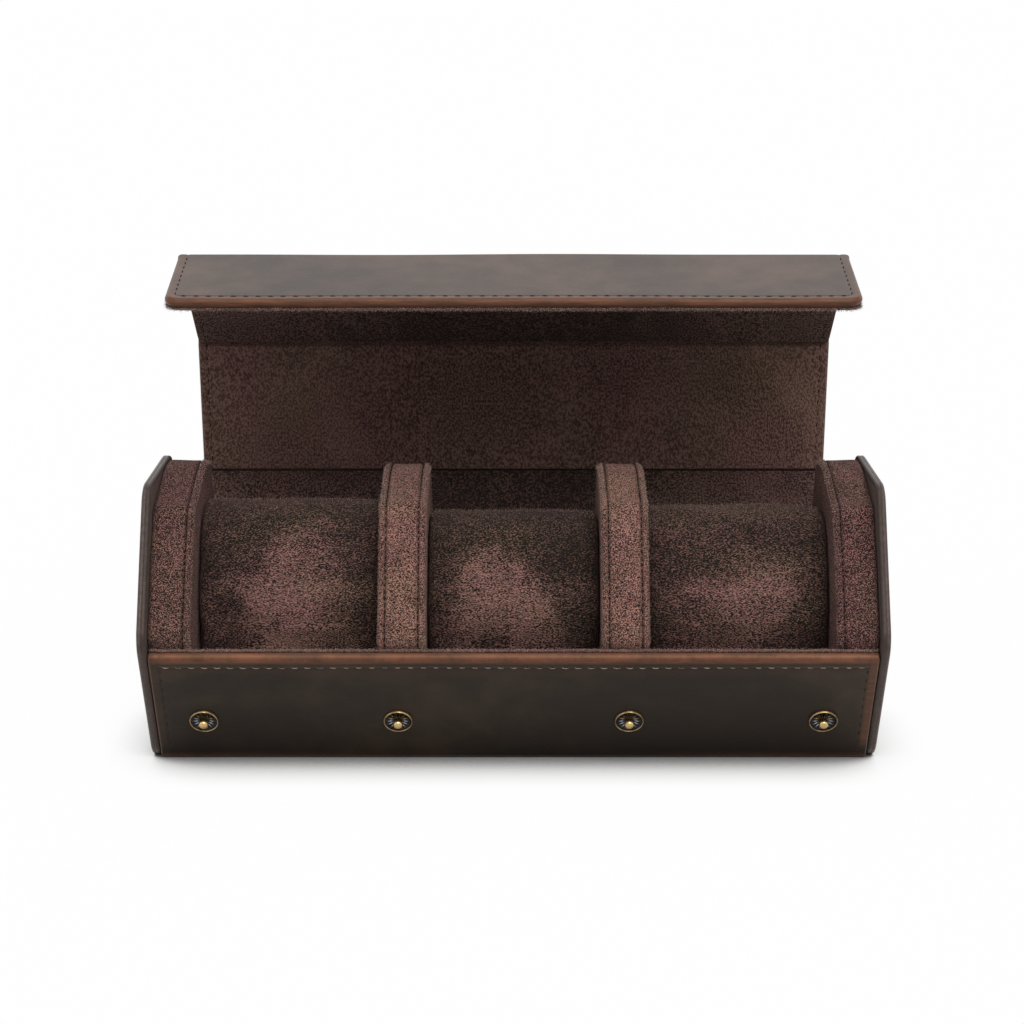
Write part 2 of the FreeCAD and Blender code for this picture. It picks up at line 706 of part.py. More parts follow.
def make_fold(label, depth, height):
    """Rolled leather of a fold: a round bead on the fold's axis, as thick as the leather each way."""
    bead = doc.addObject("Part::Cylinder", label)
    bead.Label = label
    bead.Placement = FreeCAD.Placement(
        FreeCAD.Vector(0, 0, 0), FreeCAD.Rotation(FreeCAD.Vector(0, 1, 0), 90)
    )
    bead.setExpression("Radius", "Sizes.leather")
    bead.setExpression("Height", "Layout.lid_width")
    bead.setExpression("Placement.Base.x", "-Layout.lid_width / 2")
    bead.setExpression("Placement.Base.y", depth)
    bead.setExpression("Placement.Base.z", height)
    parts.append(bead)
    return bead


def make_panel(name, pitch, turn, depth, height):
    """The three layers of one hinged panel, set at its place in the open lid."""
    pieces = [
        make_panel_leather(name + "_leather", pitch),
        make_panel_board(name + "_board", pitch + " - Layout.board_fold_gap"),
        make_panel_lining(name + "_lining", pitch + " - Layout.lining_fold_gap"),
    ]
    for piece in pieces:
        place(piece, turn, depth, height)


make_fold("lid_hinge_fold", "Layout.hinge_depth", "Layout.hinge_height")
make_panel(
    "back_panel", "Layout.fold_pitch", "Sizes.back_panel_angle", "Layout.hinge_depth", "Layout.hinge_height"
)
make_fold("top_fold", "Layout.top_fold_depth", "Layout.top_fold_height")
make_panel(
    "top_panel", "Layout.fold_pitch", "Layout.top_angle", "Layout.top_fold_depth", "Layout.top_fold_height"
)
make_fold("front_fold", "Layout.front_fold_depth", "Layout.front_fold_height")
make_panel(
    "front_panel", "Layout.front_pitch", "Layout.front_angle", "Layout.front_fold_depth",
    "Layout.front_fold_height",
)
make_fold("flap_fold", "Layout.flap_fold_depth", "Layout.flap_fold_height")

# Flap with its snap sockets
flap_pieces = [
    make_panel_leather("flap_leather", "Sizes.flap_length", free_edge=True),
    make_panel_board(
        "flap_board", "Sizes.flap_length - Sizes.lid_rim - Sizes.layer_clearance", holed=True
    ),
    make_panel_lining("flap_lining", "Sizes.flap_length - Sizes.lining_inset", holed=True),
    make_stations("snap_sockets", "Layout.socket_place", [
        (
            "Sizes.socket_diameter",
            "Sizes.socket_bore",
            "Sizes.cap_thickness",
            "Sizes.board + Sizes.lining - Sizes.cap_thickness",
        ),
        (
            "Sizes.socket_flange_diameter",
            "Sizes.socket_bore",
            "Sizes.board + Sizes.lining",
            "Sizes.socket_flange",
        ),
    ]),
    make_stations("socket_caps", "Layout.socket_place", [
        ("Sizes.socket_diameter", None, "0", "Sizes.cap_thickness"),
    ]),
]
spring_rings = []
for station in STUD_STATIONS:
    ring = doc.addObject("Part::Torus", "spring_ring")
    ring.setExpression(
        "Radius1", "Sizes.socket_bore / 2 - Sizes.spring_wire / 2 - Sizes.layer_clearance"
    )
    ring.setExpression("Radius2", "Sizes.spring_wire / 2")
    ring.setExpression("Angle3", "360 - Sizes.spring_opening")
    ring.setExpression("Placement.Base.x", station)
    ring.setExpression("Placement.Base.y", "Layout.socket_place")
    ring.setExpression("Placement.Base.z", "(Sizes.board + Sizes.lining + Sizes.cap_thickness) / 2")
    spring_rings.append(ring)
socket_springs = doc.addObject("Part::Compound", "socket_springs")
socket_springs.Label = "socket_springs"
socket_springs.Links = spring_rings
parts.append(socket_springs)
flap_pieces.append(socket_springs)
for piece in flap_pieces:
    place(piece, "Layout.flap_angle", "Layout.flap_fold_depth", "Layout.flap_fold_height")


# Watch pillows: crowned foam cores in suede covers, flat where they stand on the floor lining
def oval_wire(across, height, depth):
    """Upright oval of four tangent arcs: a crown radius at top and foot, flatter front and back."""
    half_height = height / 2
    half_depth = depth / 2
    crown = half_depth * number("Sizes.pillow_crown_share")
    rise = half_height - crown
    flank = (half_depth ** 2 + rise ** 2 - crown ** 2) / (2 * (half_depth - crown))
    join_depth = crown * (flank - half_depth) / (flank - crown)
    join_height = rise + crown * rise / (flank - crown)
    top = FreeCAD.Vector(across, 0, half_height)
    back = FreeCAD.Vector(across, half_depth, 0)
    upper_back = FreeCAD.Vector(across, join_depth, join_height)
    lower_back = FreeCAD.Vector(across, join_depth, -join_height)
    upper_front = FreeCAD.Vector(across, -join_depth, join_height)
    lower_front = FreeCAD.Vector(across, -join_depth, -join_height)
    arcs = [
        Part.Arc(upper_front, top, upper_back),
        Part.Arc(upper_back, back, lower_back),
        Part.Arc(lower_back, -top + FreeCAD.Vector(2 * across, 0, 0), lower_front),
        Part.Arc(lower_front, -back + FreeCAD.Vector(2 * across, 0, 0), upper_front),
    ]
    return Part.Wire([arc.toShape() for arc in arcs])


def pillow_form(inset):
    """Crowned solid about its own middle: full at mid-width, drawn in at both ends, flat below."""
    width = number("Layout.pillow_width") - 2 * inset
    height = number("Layout.pillow_height") - 2 * inset
    depth = number("Sizes.pillow_depth") - 2 * inset
    shoulder = width / 2 - number("Sizes.pillow_shoulder")
    stations = (
        (-width / 2, number("Sizes.pillow_end_draw")),
        (-shoulder, number("Sizes.pillow_shoulder_draw")),
        (0, 0),
        (shoulder, number("Sizes.pillow_shoulder_draw")),
        (width / 2, number("Sizes.pillow_end_draw")),
    )
    wires = [oval_wire(across, height - 2 * draw, depth - 2 * draw) for across, draw in stations]
    form = Part.makeLoft(wires, True)
    overrun = number("Sizes.cut_overrun")
    floor = Part.makeBox(
        width + 2 * overrun,
        depth + 2 * overrun,
        number("Sizes.pillow_flat") + overrun,
        FreeCAD.Vector(-width / 2 - overrun, -depth / 2 - overrun, -height / 2 - overrun),
    )
    return form.cut(floor)


def make_pillow(name, bay):
    """Suede cover with its stuffing slit underneath, and the foam core inside it."""
    cover_wall = number("Sizes.pillow_cover")
    half_height = number("Layout.pillow_height") / 2
    slit_length = number("Sizes.pillow_slit_length")
    slit_width = number("Sizes.pillow_slit_width")
    slit = Part.makeBox(
        slit_length,
        slit_width,
        half_height,
        FreeCAD.Vector(-slit_length / 2, -slit_width / 2, -half_height),
    )
    cover = doc.addObject("Part::Feature", name + "_cover")
    cover.Shape = pillow_form(0).cut(pillow_form(cover_wall)).cut(slit)
    foam = doc.addObject("Part::Feature", name + "_foam")
    foam.Shape = pillow_form(cover_wall + number("Sizes.layer_clearance"))
    seat = number("Layout.wall_thickness + Sizes.closing_clearance - Sizes.pillow_flat")
    for piece in (cover, foam):
        piece.Label = piece.Name
        piece.Placement = FreeCAD.Placement(
            FreeCAD.Vector(number(bay), 0, seat + half_height), FreeCAD.Rotation()
        )
        parts.append(piece)


make_pillow("left_pillow", "-Layout.side_bay")
make_pillow("centre_pillow", "0")
make_pillow("right_pillow", "Layout.side_bay")

# Check everything before any file is written
doc.recompute()
for item in doc.Objects:
    if "Invalid" in item.State or "Error" in item.State:
        raise RuntimeError("%s did not build: %s" % (item.Label, item.State))
for part in parts:
    if part.Shape.isNull() or not part.Shape.isValid() or not part.Shape.Solids:
        raise RuntimeError("%s has no valid solid" % part.Label)

os.makedirs("parts", exist_ok=True)
for part in parts:
    part.Shape.exportStep(os.path.join("parts", part.Label + ".step"))
    print("%-22s solids %d volume %.1f" % (part.Label, len(part.Shape.Solids), part.Shape.Volume))
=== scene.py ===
import json
import math
from collections import namedtuple

import bmesh
import bpy
import numpy as np
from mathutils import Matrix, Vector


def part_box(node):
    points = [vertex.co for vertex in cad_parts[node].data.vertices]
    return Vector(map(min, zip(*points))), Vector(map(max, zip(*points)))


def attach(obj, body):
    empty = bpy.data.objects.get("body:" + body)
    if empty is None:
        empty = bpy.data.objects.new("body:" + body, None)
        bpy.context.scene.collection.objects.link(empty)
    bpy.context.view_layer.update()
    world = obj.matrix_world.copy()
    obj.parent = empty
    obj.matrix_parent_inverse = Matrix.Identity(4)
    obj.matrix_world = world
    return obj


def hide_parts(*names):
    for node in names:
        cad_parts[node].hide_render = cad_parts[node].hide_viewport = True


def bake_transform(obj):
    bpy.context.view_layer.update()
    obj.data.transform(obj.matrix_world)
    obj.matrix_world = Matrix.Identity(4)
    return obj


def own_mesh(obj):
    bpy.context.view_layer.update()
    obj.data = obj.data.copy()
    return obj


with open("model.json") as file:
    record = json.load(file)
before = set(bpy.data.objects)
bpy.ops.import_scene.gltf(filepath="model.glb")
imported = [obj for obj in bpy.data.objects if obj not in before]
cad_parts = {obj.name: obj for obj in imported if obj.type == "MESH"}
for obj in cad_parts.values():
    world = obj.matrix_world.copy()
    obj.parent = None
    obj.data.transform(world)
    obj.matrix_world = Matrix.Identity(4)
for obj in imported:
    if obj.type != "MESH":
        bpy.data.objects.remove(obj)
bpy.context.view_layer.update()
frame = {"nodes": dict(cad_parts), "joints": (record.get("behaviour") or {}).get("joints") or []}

# Leather case for three watches, open as photographed. Lengths are metres, angles are radians.
# A strip of leather or suede is described flat: across it (X), along it, and a lift from the leather's
# flesh side, positive towards the lining. The strip runs from the front rim under the case, up the back
# and round the lid to the flap.

MM = 0.001
SQRT3 = math.sqrt(3)

# Layers
LEATHER = 1.4 * MM
BOARD = 1.8 * MM
LINING = 1.0 * MM
LINED = BOARD + LINING

# Hexagon and overall places, from the frame
END_LOW, END_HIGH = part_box("right_end_leather")
APOTHEM = END_HIGH.z / 2
FLESH_APOTHEM = APOTHEM - LEATHER
WRAP_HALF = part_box("base_leather")[1].x
LID_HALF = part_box("flap_leather")[1].x
PAD_LOW, PAD_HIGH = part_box("right_pad_cover")
DIVIDER_LOW, DIVIDER_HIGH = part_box("right_divider_cover")
WALL_LEAN = math.radians(60)

# Edges, folds and seams
RIM_RADIUS = 1.6 * MM
WRAP_CORNER = 2.5 * MM
LINING_CORNER = 1.5 * MM
RIM_ROOM = 0.3 * MM
LINING_PEEK = 0.6 * MM
SUEDE_PEEK = 0.1 * MM
TURNED_EDGE = 1.6 * MM
CUT_EDGE = 0.7 * MM
SUEDE_EDGE = 0.5 * MM
SUEDE_INSET = 0.6 * MM
FOLD_ZONE = 0.8 * MM
FOLD_TAPER = 2.6 * MM
FOLD_THIN = 0.3 * MM
HINGE_SCORE = 0.5 * MM
HINGE_SCORE_WIDTH = 1.2 * MM
HINGE_NARROWS_BELOW = 4 * MM
HINGE_NARROWS_OVER = 3 * MM
GROOVE = 2.65 * MM
GROOVE_DIP = 1.8 * MM
CORNER_ZONE = 0.3 * MM
FLAP_LENGTH = 44 * MM
FLAP_ROUND = 5 * MM
FLAP_BEND = math.radians(50)
SOCKET_HOLE = 3.72 * MM
SOCKET_SKIN = 0.1 * MM
EDGE_BAND = 8 * MM

# Stitching
STITCH_INSET = 3.5 * MM
RIM_STITCH_INSET = 4.8 * MM
STITCH_PITCH = 4.2 * MM
STITCH_LENGTH = 2.4 * MM
SEAM_PITCH = 2.3 * MM
SEAM_STITCH = 1.55 * MM
THREAD = 0.4 * MM
STITCH_DIP = 0.15 * MM
LINED_DIP = 0.26 * MM
STITCH_DIP_WIDTH = 0.45 * MM
EDGE_PUFF = 0.07 * MM
SIDE_STITCH_REACH = 46 * MM
FOLD_STITCH_GAP = 2 * MM
FLAP_STITCH_ROUND = FLAP_ROUND - 2 * MM
STITCH_RINGS = 5
STITCH_SIDES = 6
STITCH_SLANT = 0.06
STITCH_TAPER = 0.8
STITCH_STAND = 0.42
STITCH_DIVE = 0.75

# Long waves of the leather's unevenness: height, waves across and along the strip, start
SWAY_WAVES = ((0.10 * MM, 41, 23, 0.0), (0.06 * MM, 67, -58, 1.3), (0.05 * MM, 19, 97, 0.4))

# Steps of the grids
FOLD_STEPS = 37
PANEL_STEPS = 26
EDGE_STEPS = 24
MIDDLE_STEPS = 42
FLAP_STEPS = 22
FLAP_EDGE_STEPS = 34
FLAP_LINING_STEPS = 30
ROUND_STEPS = 12
HOLE_STEPS = 40
MERGED_WITHIN = 0.002 * MM

random = np.random.default_rng(20)


# Number helpers

def smooth_step(value):
    """0 up to 0, 1 from 1 on, and 3 v squared less 2 v cubed between."""
    value = np.clip(value, 0, 1)
    return value * value * (3 - 2 * value)


def bell(value, middle, width):
    """Bell curve of height 1 about a middle."""
    return np.exp(-(((value - middle) / width) ** 2))


def crowded(length, count):
    """Distances from 0 to a length, crowded towards 0 as 1 less the sine of an even angle."""
    return length * (1 - np.sin(np.linspace(math.pi / 2, 0, count)))


def turned(angle):
    """Unit direction along a strip at an angle, and the unit direction of its lift."""
    return (np.cos(angle), np.sin(angle)), (-np.sin(angle), np.cos(angle))


def sway(across, developed):
    """Slight unevenness of a leather panel: the sum of three long waves across and along it."""
    return sum(
        height * np.sin(across * waves_across + developed * waves_along + start)
        for height, waves_across, waves_along, start in SWAY_WAVES
    )


# Meshes

def grid_faces(rows, columns, wrap_rows=False, wrap_columns=False):
    """Quads of a grid of points numbered row by row. A wrapped side joins its last line to its first."""
    row = np.arange(rows if wrap_rows else rows - 1)
    column = np.arange(columns if wrap_columns else columns - 1)
    row, column = np.meshgrid(row, column, indexing="ij")
    next_row = (row + 1) % rows * columns
    next_column = (column + 1) % columns
    row = row * columns
    corners = [row + column, row + next_column, next_row + next_column, next_row + column]
    return np.stack(corners, axis=-1).reshape(-1, 4)


def repeated(faces, copies, points_each):
    """The faces of one shape numbered again for each of its copies."""
    steps = np.arange(copies)[:, None, None] * points_each
    return (faces[None] + steps).reshape(-1, faces.shape[1])


def make_piece(name, points, faces, material, values=None, sharp=40):
    """A mesh object at the origin. Points that meet are merged, so poles and borders close, and faces
    are turned outwards. values are numbers or vectors kept on the points for the material to read."""
    mesh = bpy.data.meshes.new(name)
    mesh.from_pydata(points.reshape(-1, 3), [], faces)
    for label, numbers in (values or {}).items():
        kind = "FLOAT_VECTOR" if numbers.shape[-1] == 3 else "FLOAT"
        field = "vector" if kind == "FLOAT_VECTOR" else "value"
        attribute = mesh.attributes.new(label, kind, "POINT")
        attribute.data.foreach_set(field, numbers.astype(np.float32).ravel())
    joined = bmesh.new()
    joined.from_mesh(mesh)
    bmesh.ops.remove_doubles(joined, verts=joined.verts, dist=MERGED_WITHIN)
    bmesh.ops.recalc_face_normals(joined, faces=joined.faces)
    joined.to_mesh(mesh)
    joined.free()
    mesh.shade_smooth()
    mesh.set_sharp_from_angle(angle=math.radians(sharp))
    mesh.materials.append(material)
    piece = bpy.data.objects.new(name, mesh)
    bpy.context.scene.collection.objects.link(piece)
    return piece


def apply_modifiers(piece):
    """Puts the shape that a piece's modifiers give into its mesh."""
    evaluated = piece.evaluated_get(bpy.context.evaluated_depsgraph_get())
    shaped = bpy.data.meshes.new_from_object(evaluated)
    piece.modifiers.clear()
    piece.data = shaped


def mesh_points(mesh):
    """A mesh's points as rows of an array."""
    flat = np.empty(3 * len(mesh.vertices), np.float32)
    mesh.vertices.foreach_get("co", flat)
    return flat.reshape(-1, 3).astype(float)


# Node helpers

def add_node(tree, kind, inputs=None, **settings):
    """Adds a node, sets its options, and fills or links its inputs."""
    node = tree.nodes.new(kind)
    for name, value in settings.items():
        setattr(node, name, value)
    for socket, value in (inputs or {}).items():
        if isinstance(value, bpy.types.NodeSocket):
            tree.links.new(value, node.inputs[socket])
        else:
            node.inputs[socket].default_value = value
    return node


def new_group(name, inputs, outputs):
    """A shader node group with named sockets. Returns its tree, its inputs and its output node."""
    tree = bpy.data.node_groups.new(name, "ShaderNodeTree")
    for label, kind in inputs.items():
        tree.interface.new_socket(label, in_out="INPUT", socket_type=kind)
    for label, kind in outputs.items():
        tree.interface.new_socket(label, in_out="OUTPUT", socket_type=kind)
    return tree, tree.nodes.new("NodeGroupInput").outputs, tree.nodes.new("NodeGroupOutput")


def math_node(tree, operation, first, second=0.0, clamp=False):
    """A sum, product or like of two numbers."""
    node = add_node(tree, "ShaderNodeMath", {0: first, 1: second}, operation=operation, use_clamp=clamp)
    return node.outputs[0]


def weighted_sum(tree, *parts):
    """Sum of numbers, each times its weight."""
    terms = [math_node(tree, "MULTIPLY", value, weight) for value, weight in parts]
    total = terms[0]
    for term in terms[1:]:
        total = math_node(tree, "ADD", total, term)
    return total


def pick(sockets, label):
    """The colour socket of a Mix node, which has sockets of the same name for other kinds."""
    return next(item for item in sockets if item.name == label and item.type == "RGBA")


def noise(tree, place, scale, detail=3.0, roughness=0.55, distortion=0.0):
    """Noise of a number of waves to the metre."""
    node = add_node(
        tree, "ShaderNodeTexNoise",
        {
            "Vector": place, "Scale": scale, "Detail": detail, "Roughness": roughness,
            "Distortion": distortion,
        },
    )
    return node.outputs["Fac"]


def remap(tree, value, low, high, new_low=0.0, new_high=1.0):
    """A number moved from one range to another, and kept in it."""
    node = add_node(
        tree, "ShaderNodeMapRange",
        {"Value": value, "From Min": low, "From Max": high, "To Min": new_low, "To Max": new_high},
        interpolation_type="SMOOTHSTEP",
    )
    return node.outputs["Result"]


def stretched(tree, place, scale, turn=0.0):
    """A place scaled unevenly, which draws a pattern out into streaks."""
    node = add_node(tree, "ShaderNodeMapping", {"Vector": place, "Scale": scale, "Rotation": (0, 0, turn)})
    return node.outputs["Vector"]


def blend_colours(tree, share, first, second, clamp=True):
    """Mixes two colours, each a socket or a plain colour. Unclamped, the share may pass 1."""
    node = tree.nodes.new("ShaderNodeMix")
    node.data_type = "RGBA"
    node.clamp_factor = clamp
    ends = ((node.inputs[0], share), (pick(node.inputs, "A"), first), (pick(node.inputs, "B"), second))
    for target, value in ends:
        if isinstance(value, bpy.types.NodeSocket):
            tree.links.new(value, target)
        else:
            target.default_value = value
    return pick(node.outputs, "Result")


# Finishes

HIDE_DARK = (0.0075, 0.0055, 0.0042, 1)
HIDE_BROWN = (0.023, 0.0145, 0.009, 1)
HIDE_TAN = (0.07, 0.035, 0.017, 1)
# Pale colours of the leather's painted sheen, shown where it is seen along its surface
PAINTED_SHEEN_GREY = (0.082, 0.072, 0.069, 1)
PAINTED_SHEEN_BROWN = (0.125, 0.09, 0.076, 1)
BURNISHED = (0.165, 0.061, 0.031, 1)
EDGE_PAINT = (0.068, 0.051, 0.05, 1)
WAX_SHEEN = (1.0, 0.8, 0.64, 1)

SUEDE_DEEP = (0.013, 0.0085, 0.0075, 1)
SUEDE_LIGHT = (0.275, 0.147, 0.117, 1)
PAD_LIGHT = (0.245, 0.126, 0.108, 1)
LID_LIGHT = (0.183, 0.105, 0.086, 1)
PILLOW_DEEP = (0.010, 0.0078, 0.006, 1)
PILLOW_LIGHT = (0.265, 0.146, 0.118, 1)
# Colour of the pillows' painted highlight
HIGHLIGHT_LIGHT = (0.272, 0.143, 0.124, 1)
FIBRE_DEEP = (0.05, 0.035, 0.03, 1)
FIBRE_LIGHT = (0.46, 0.32, 0.27, 1)
REDDER = (1.04, 0.97, 1.02, 1)
BROWNER = (0.975, 1.015, 0.94, 1)
NAP_SHEEN = (0.6, 0.42, 0.38, 1)
FIBRE_NAP = 0.15
PAD_NAP = -0.21
DIVIDER_NAP = 0.01
LID_NAP = 0.2
# Reach, core, unevenness and shape of the pillows' painted highlight
HIGHLIGHT_REACH = 34 * MM
HIGHLIGHT_CORE = -2 * MM
HIGHLIGHT_UNEVEN = 50 * MM
HIGHLIGHT_SHAPE = (1, 1, 0.7)
# How far a darkening kept on a lining's points lowers its nap: painted shade on the lid's lining
DARKENING_LOSS = 0.53
PAD_CONTRAST = 1.38
LID_CONTRAST = 0.6
PILLOW_CONTRAST = 1.02
FIBRE_CONTRAST = 2.0
PILE_LAY = (0.8, 0.7, 1.2)
PILLOW_PILE_LAY = (0.52, 0.75, 1.3)
LID_PILE_LAY = (0.54, 0.34, 1)


def make_hide_group():
    """Waxed pull-up leather: dark wax with browner patches where it has been bent or rubbed, fine pores,
    faint scratches, and a burnish where the rim mask is high. It also gives the pale colour of a painted
    sheen, which the leather shows where it is seen along its surface."""
    tree, given, result = new_group(
        "pull_up_hide",
        {"Place": "NodeSocketVector", "Rim": "NodeSocketFloat", "Worn": "NodeSocketColor"},
        {
            "Colour": "NodeSocketColor", "PaintedSheen": "NodeSocketColor", "Roughness": "NodeSocketFloat",
            "Height": "NodeSocketFloat",
        },
    )
    place = given["Place"]
    patches = noise(tree, stretched(tree, place, (9, 17, 17)), 1.0, detail=5, distortion=0.6)
    mottle = noise(tree, place, 95, detail=4)
    grain = noise(tree, place, 900, detail=3)
    cells = add_node(tree, "ShaderNodeTexVoronoi", {"Vector": place, "Scale": 1250.0, "Randomness": 1.0})
    pores = remap(tree, cells.outputs["Distance"], 0.05, 0.6)
    streaks = noise(tree, stretched(tree, place, (70, 1500, 70), turn=0.35), 1.0, detail=2)
    scratches = remap(tree, streaks, 0.66, 0.74)
    pulled = weighted_sum(tree, (patches, 0.7), (mottle, 0.3))
    brown = remap(tree, pulled, 0.42, 0.68)
    colour = blend_colours(tree, brown, HIDE_DARK, HIDE_BROWN)
    tan = math_node(tree, "MULTIPLY", remap(tree, pulled, 0.6, 0.8), 0.55)
    colour = blend_colours(tree, tan, colour, HIDE_TAN)
    colour = blend_colours(tree, math_node(tree, "MULTIPLY", scratches, 0.16), colour, HIDE_TAN)
    rubbed = noise(tree, stretched(tree, place, (60, 700, 700)), 1.0, detail=7, roughness=0.75)
    worn = math_node(tree, "MULTIPLY", given["Rim"], remap(tree, rubbed, 0.33, 0.67, 0.4, 1.2), clamp=True)
    colour = blend_colours(tree, worn, colour, given["Worn"])
    waxed = remap(tree, pulled, 0.35, 0.7, 0.46, 0.36)
    rough = weighted_sum(tree, (waxed, 1.0), (grain, 0.12), (worn, -0.1))
    height = weighted_sum(tree, (pores, 0.35), (grain, 0.8), (mottle, 0.9))
    # Painted sheen: the pale colour the leather takes where it is seen along its surface
    painted_sheen = blend_colours(tree, remap(tree, pulled, 0.36, 0.66), PAINTED_SHEEN_GREY, PAINTED_SHEEN_BROWN)
    painted_sheen = blend_colours(tree, math_node(tree, "MULTIPLY", worn, 0.7), painted_sheen, given["Worn"])
    tree.links.new(colour, result.inputs["Colour"])
    tree.links.new(painted_sheen, result.inputs["PaintedSheen"])
    tree.links.new(rough, result.inputs["Roughness"])
    tree.links.new(height, result.inputs["Height"])
    return tree


def make_suede_group():
    """Short-napped suede: a salt-and-pepper pile, swept lighter or darker in patches, and a little redder
    or browner from place to place. Contrast is how far single tufts stand out."""
    tree, given, result = new_group(
        "napped_suede",
        {
            "Place": "NodeSocketVector", "Deep": "NodeSocketColor", "Brushed": "NodeSocketColor",
            "Patch": "NodeSocketFloat", "Contrast": "NodeSocketFloat",
        },
        {"Colour": "NodeSocketColor", "Height": "NodeSocketFloat"},
    )
    place = given["Place"]
    pile = noise(tree, place, 3000, detail=0.5, roughness=0.6)
    clumps = noise(tree, stretched(tree, place, (620, 900, 900)), 1.0, detail=2.0)
    swept = noise(tree, place, 50, detail=3, distortion=1.4)
    hue = noise(tree, place, 50, detail=2)
    speckle = remap(tree, weighted_sum(tree, (pile, 0.9), (clumps, 0.1)), 0.33, 0.67)
    tufts = math_node(tree, "MULTIPLY", math_node(tree, "SUBTRACT", speckle, 0.5), given["Contrast"])
    share = math_node(tree, "ADD", tufts, remap(tree, swept, 0.3, 0.7, 0.33, 0.53))
    share = math_node(tree, "MAXIMUM", math_node(tree, "ADD", share, given["Patch"]), 0.0)
    colour = blend_colours(tree, share, given["Deep"], given["Brushed"], clamp=False)
    tint = blend_colours(tree, remap(tree, hue, 0.36, 0.64), REDDER, BROWNER)
    tinted = add_node(tree, "ShaderNodeVectorMath", {0: colour, 1: tint}, operation="MULTIPLY")
    tree.links.new(tinted.outputs["Vector"], result.inputs["Colour"])
    tree.links.new(speckle, result.inputs["Height"])
    return tree


HIDE_GROUP = make_hide_group()
SUEDE_GROUP = make_suede_group()


def new_material(name):
    """An empty material with a Principled shader. Returns the material, its tree and the shader."""
    material = bpy.data.materials.new(name)
    material.use_nodes = True
    tree = material.node_tree
    tree.nodes.clear()
    shader = tree.nodes.new("ShaderNodeBsdfPrincipled")
    output = tree.nodes.new("ShaderNodeOutputMaterial")
    tree.links.new(shader.outputs["BSDF"], output.inputs["Surface"])
    return material, tree, shader


def set_bump(tree, shader, height, strength, distance):
    """Feeds a height into the shader's normal."""
    bump = add_node(tree, "ShaderNodeBump", {"Height": height, "Strength": strength, "Distance": distance})
    tree.links.new(bump.outputs["Normal"], shader.inputs["Normal"])


def surface_place(tree, attribute=None):
    """Places on a piece: its object coordinates, or a vector kept on its points."""
    if attribute:
        return add_node(tree, "ShaderNodeAttribute", attribute_name=attribute).outputs["Vector"]
    return tree.nodes.new("ShaderNodeTexCoord").outputs["Object"]


def make_leather(name, attribute=None, worn=BURNISHED):
    """Waxed leather. On strips it follows the hide's own flat places and their rim mask. Its colour turns
    pale where it is seen along the surface, a painted sheen."""
    material, tree, shader = new_material(name)
    hide = add_node(tree, "ShaderNodeGroup", node_tree=HIDE_GROUP)
    hide.inputs["Worn"].default_value = worn
    tree.links.new(surface_place(tree, attribute), hide.inputs["Place"])
    if attribute:
        rim = add_node(tree, "ShaderNodeAttribute", attribute_name="rim")
        tree.links.new(rim.outputs["Fac"], hide.inputs["Rim"])
    # Painted sheen: the colour turns pale towards views along the surface
    facing = add_node(tree, "ShaderNodeLayerWeight", {"Blend": 0.5}).outputs["Facing"]
    painted_sheen = remap(tree, facing, 0.36, 0.62, 0.0, 0.85)
    colour = blend_colours(tree, painted_sheen, hide.outputs["Colour"], hide.outputs["PaintedSheen"])
    tree.links.new(colour, shader.inputs["Base Color"])
    tree.links.new(hide.outputs["Roughness"], shader.inputs["Roughness"])
    shader.inputs["Specular IOR Level"].default_value = 0.28
    shader.inputs["Specular Tint"].default_value = WAX_SHEEN
    set_bump(tree, shader, hide.outputs["Height"], 0.35, 0.12 * MM)
    return material


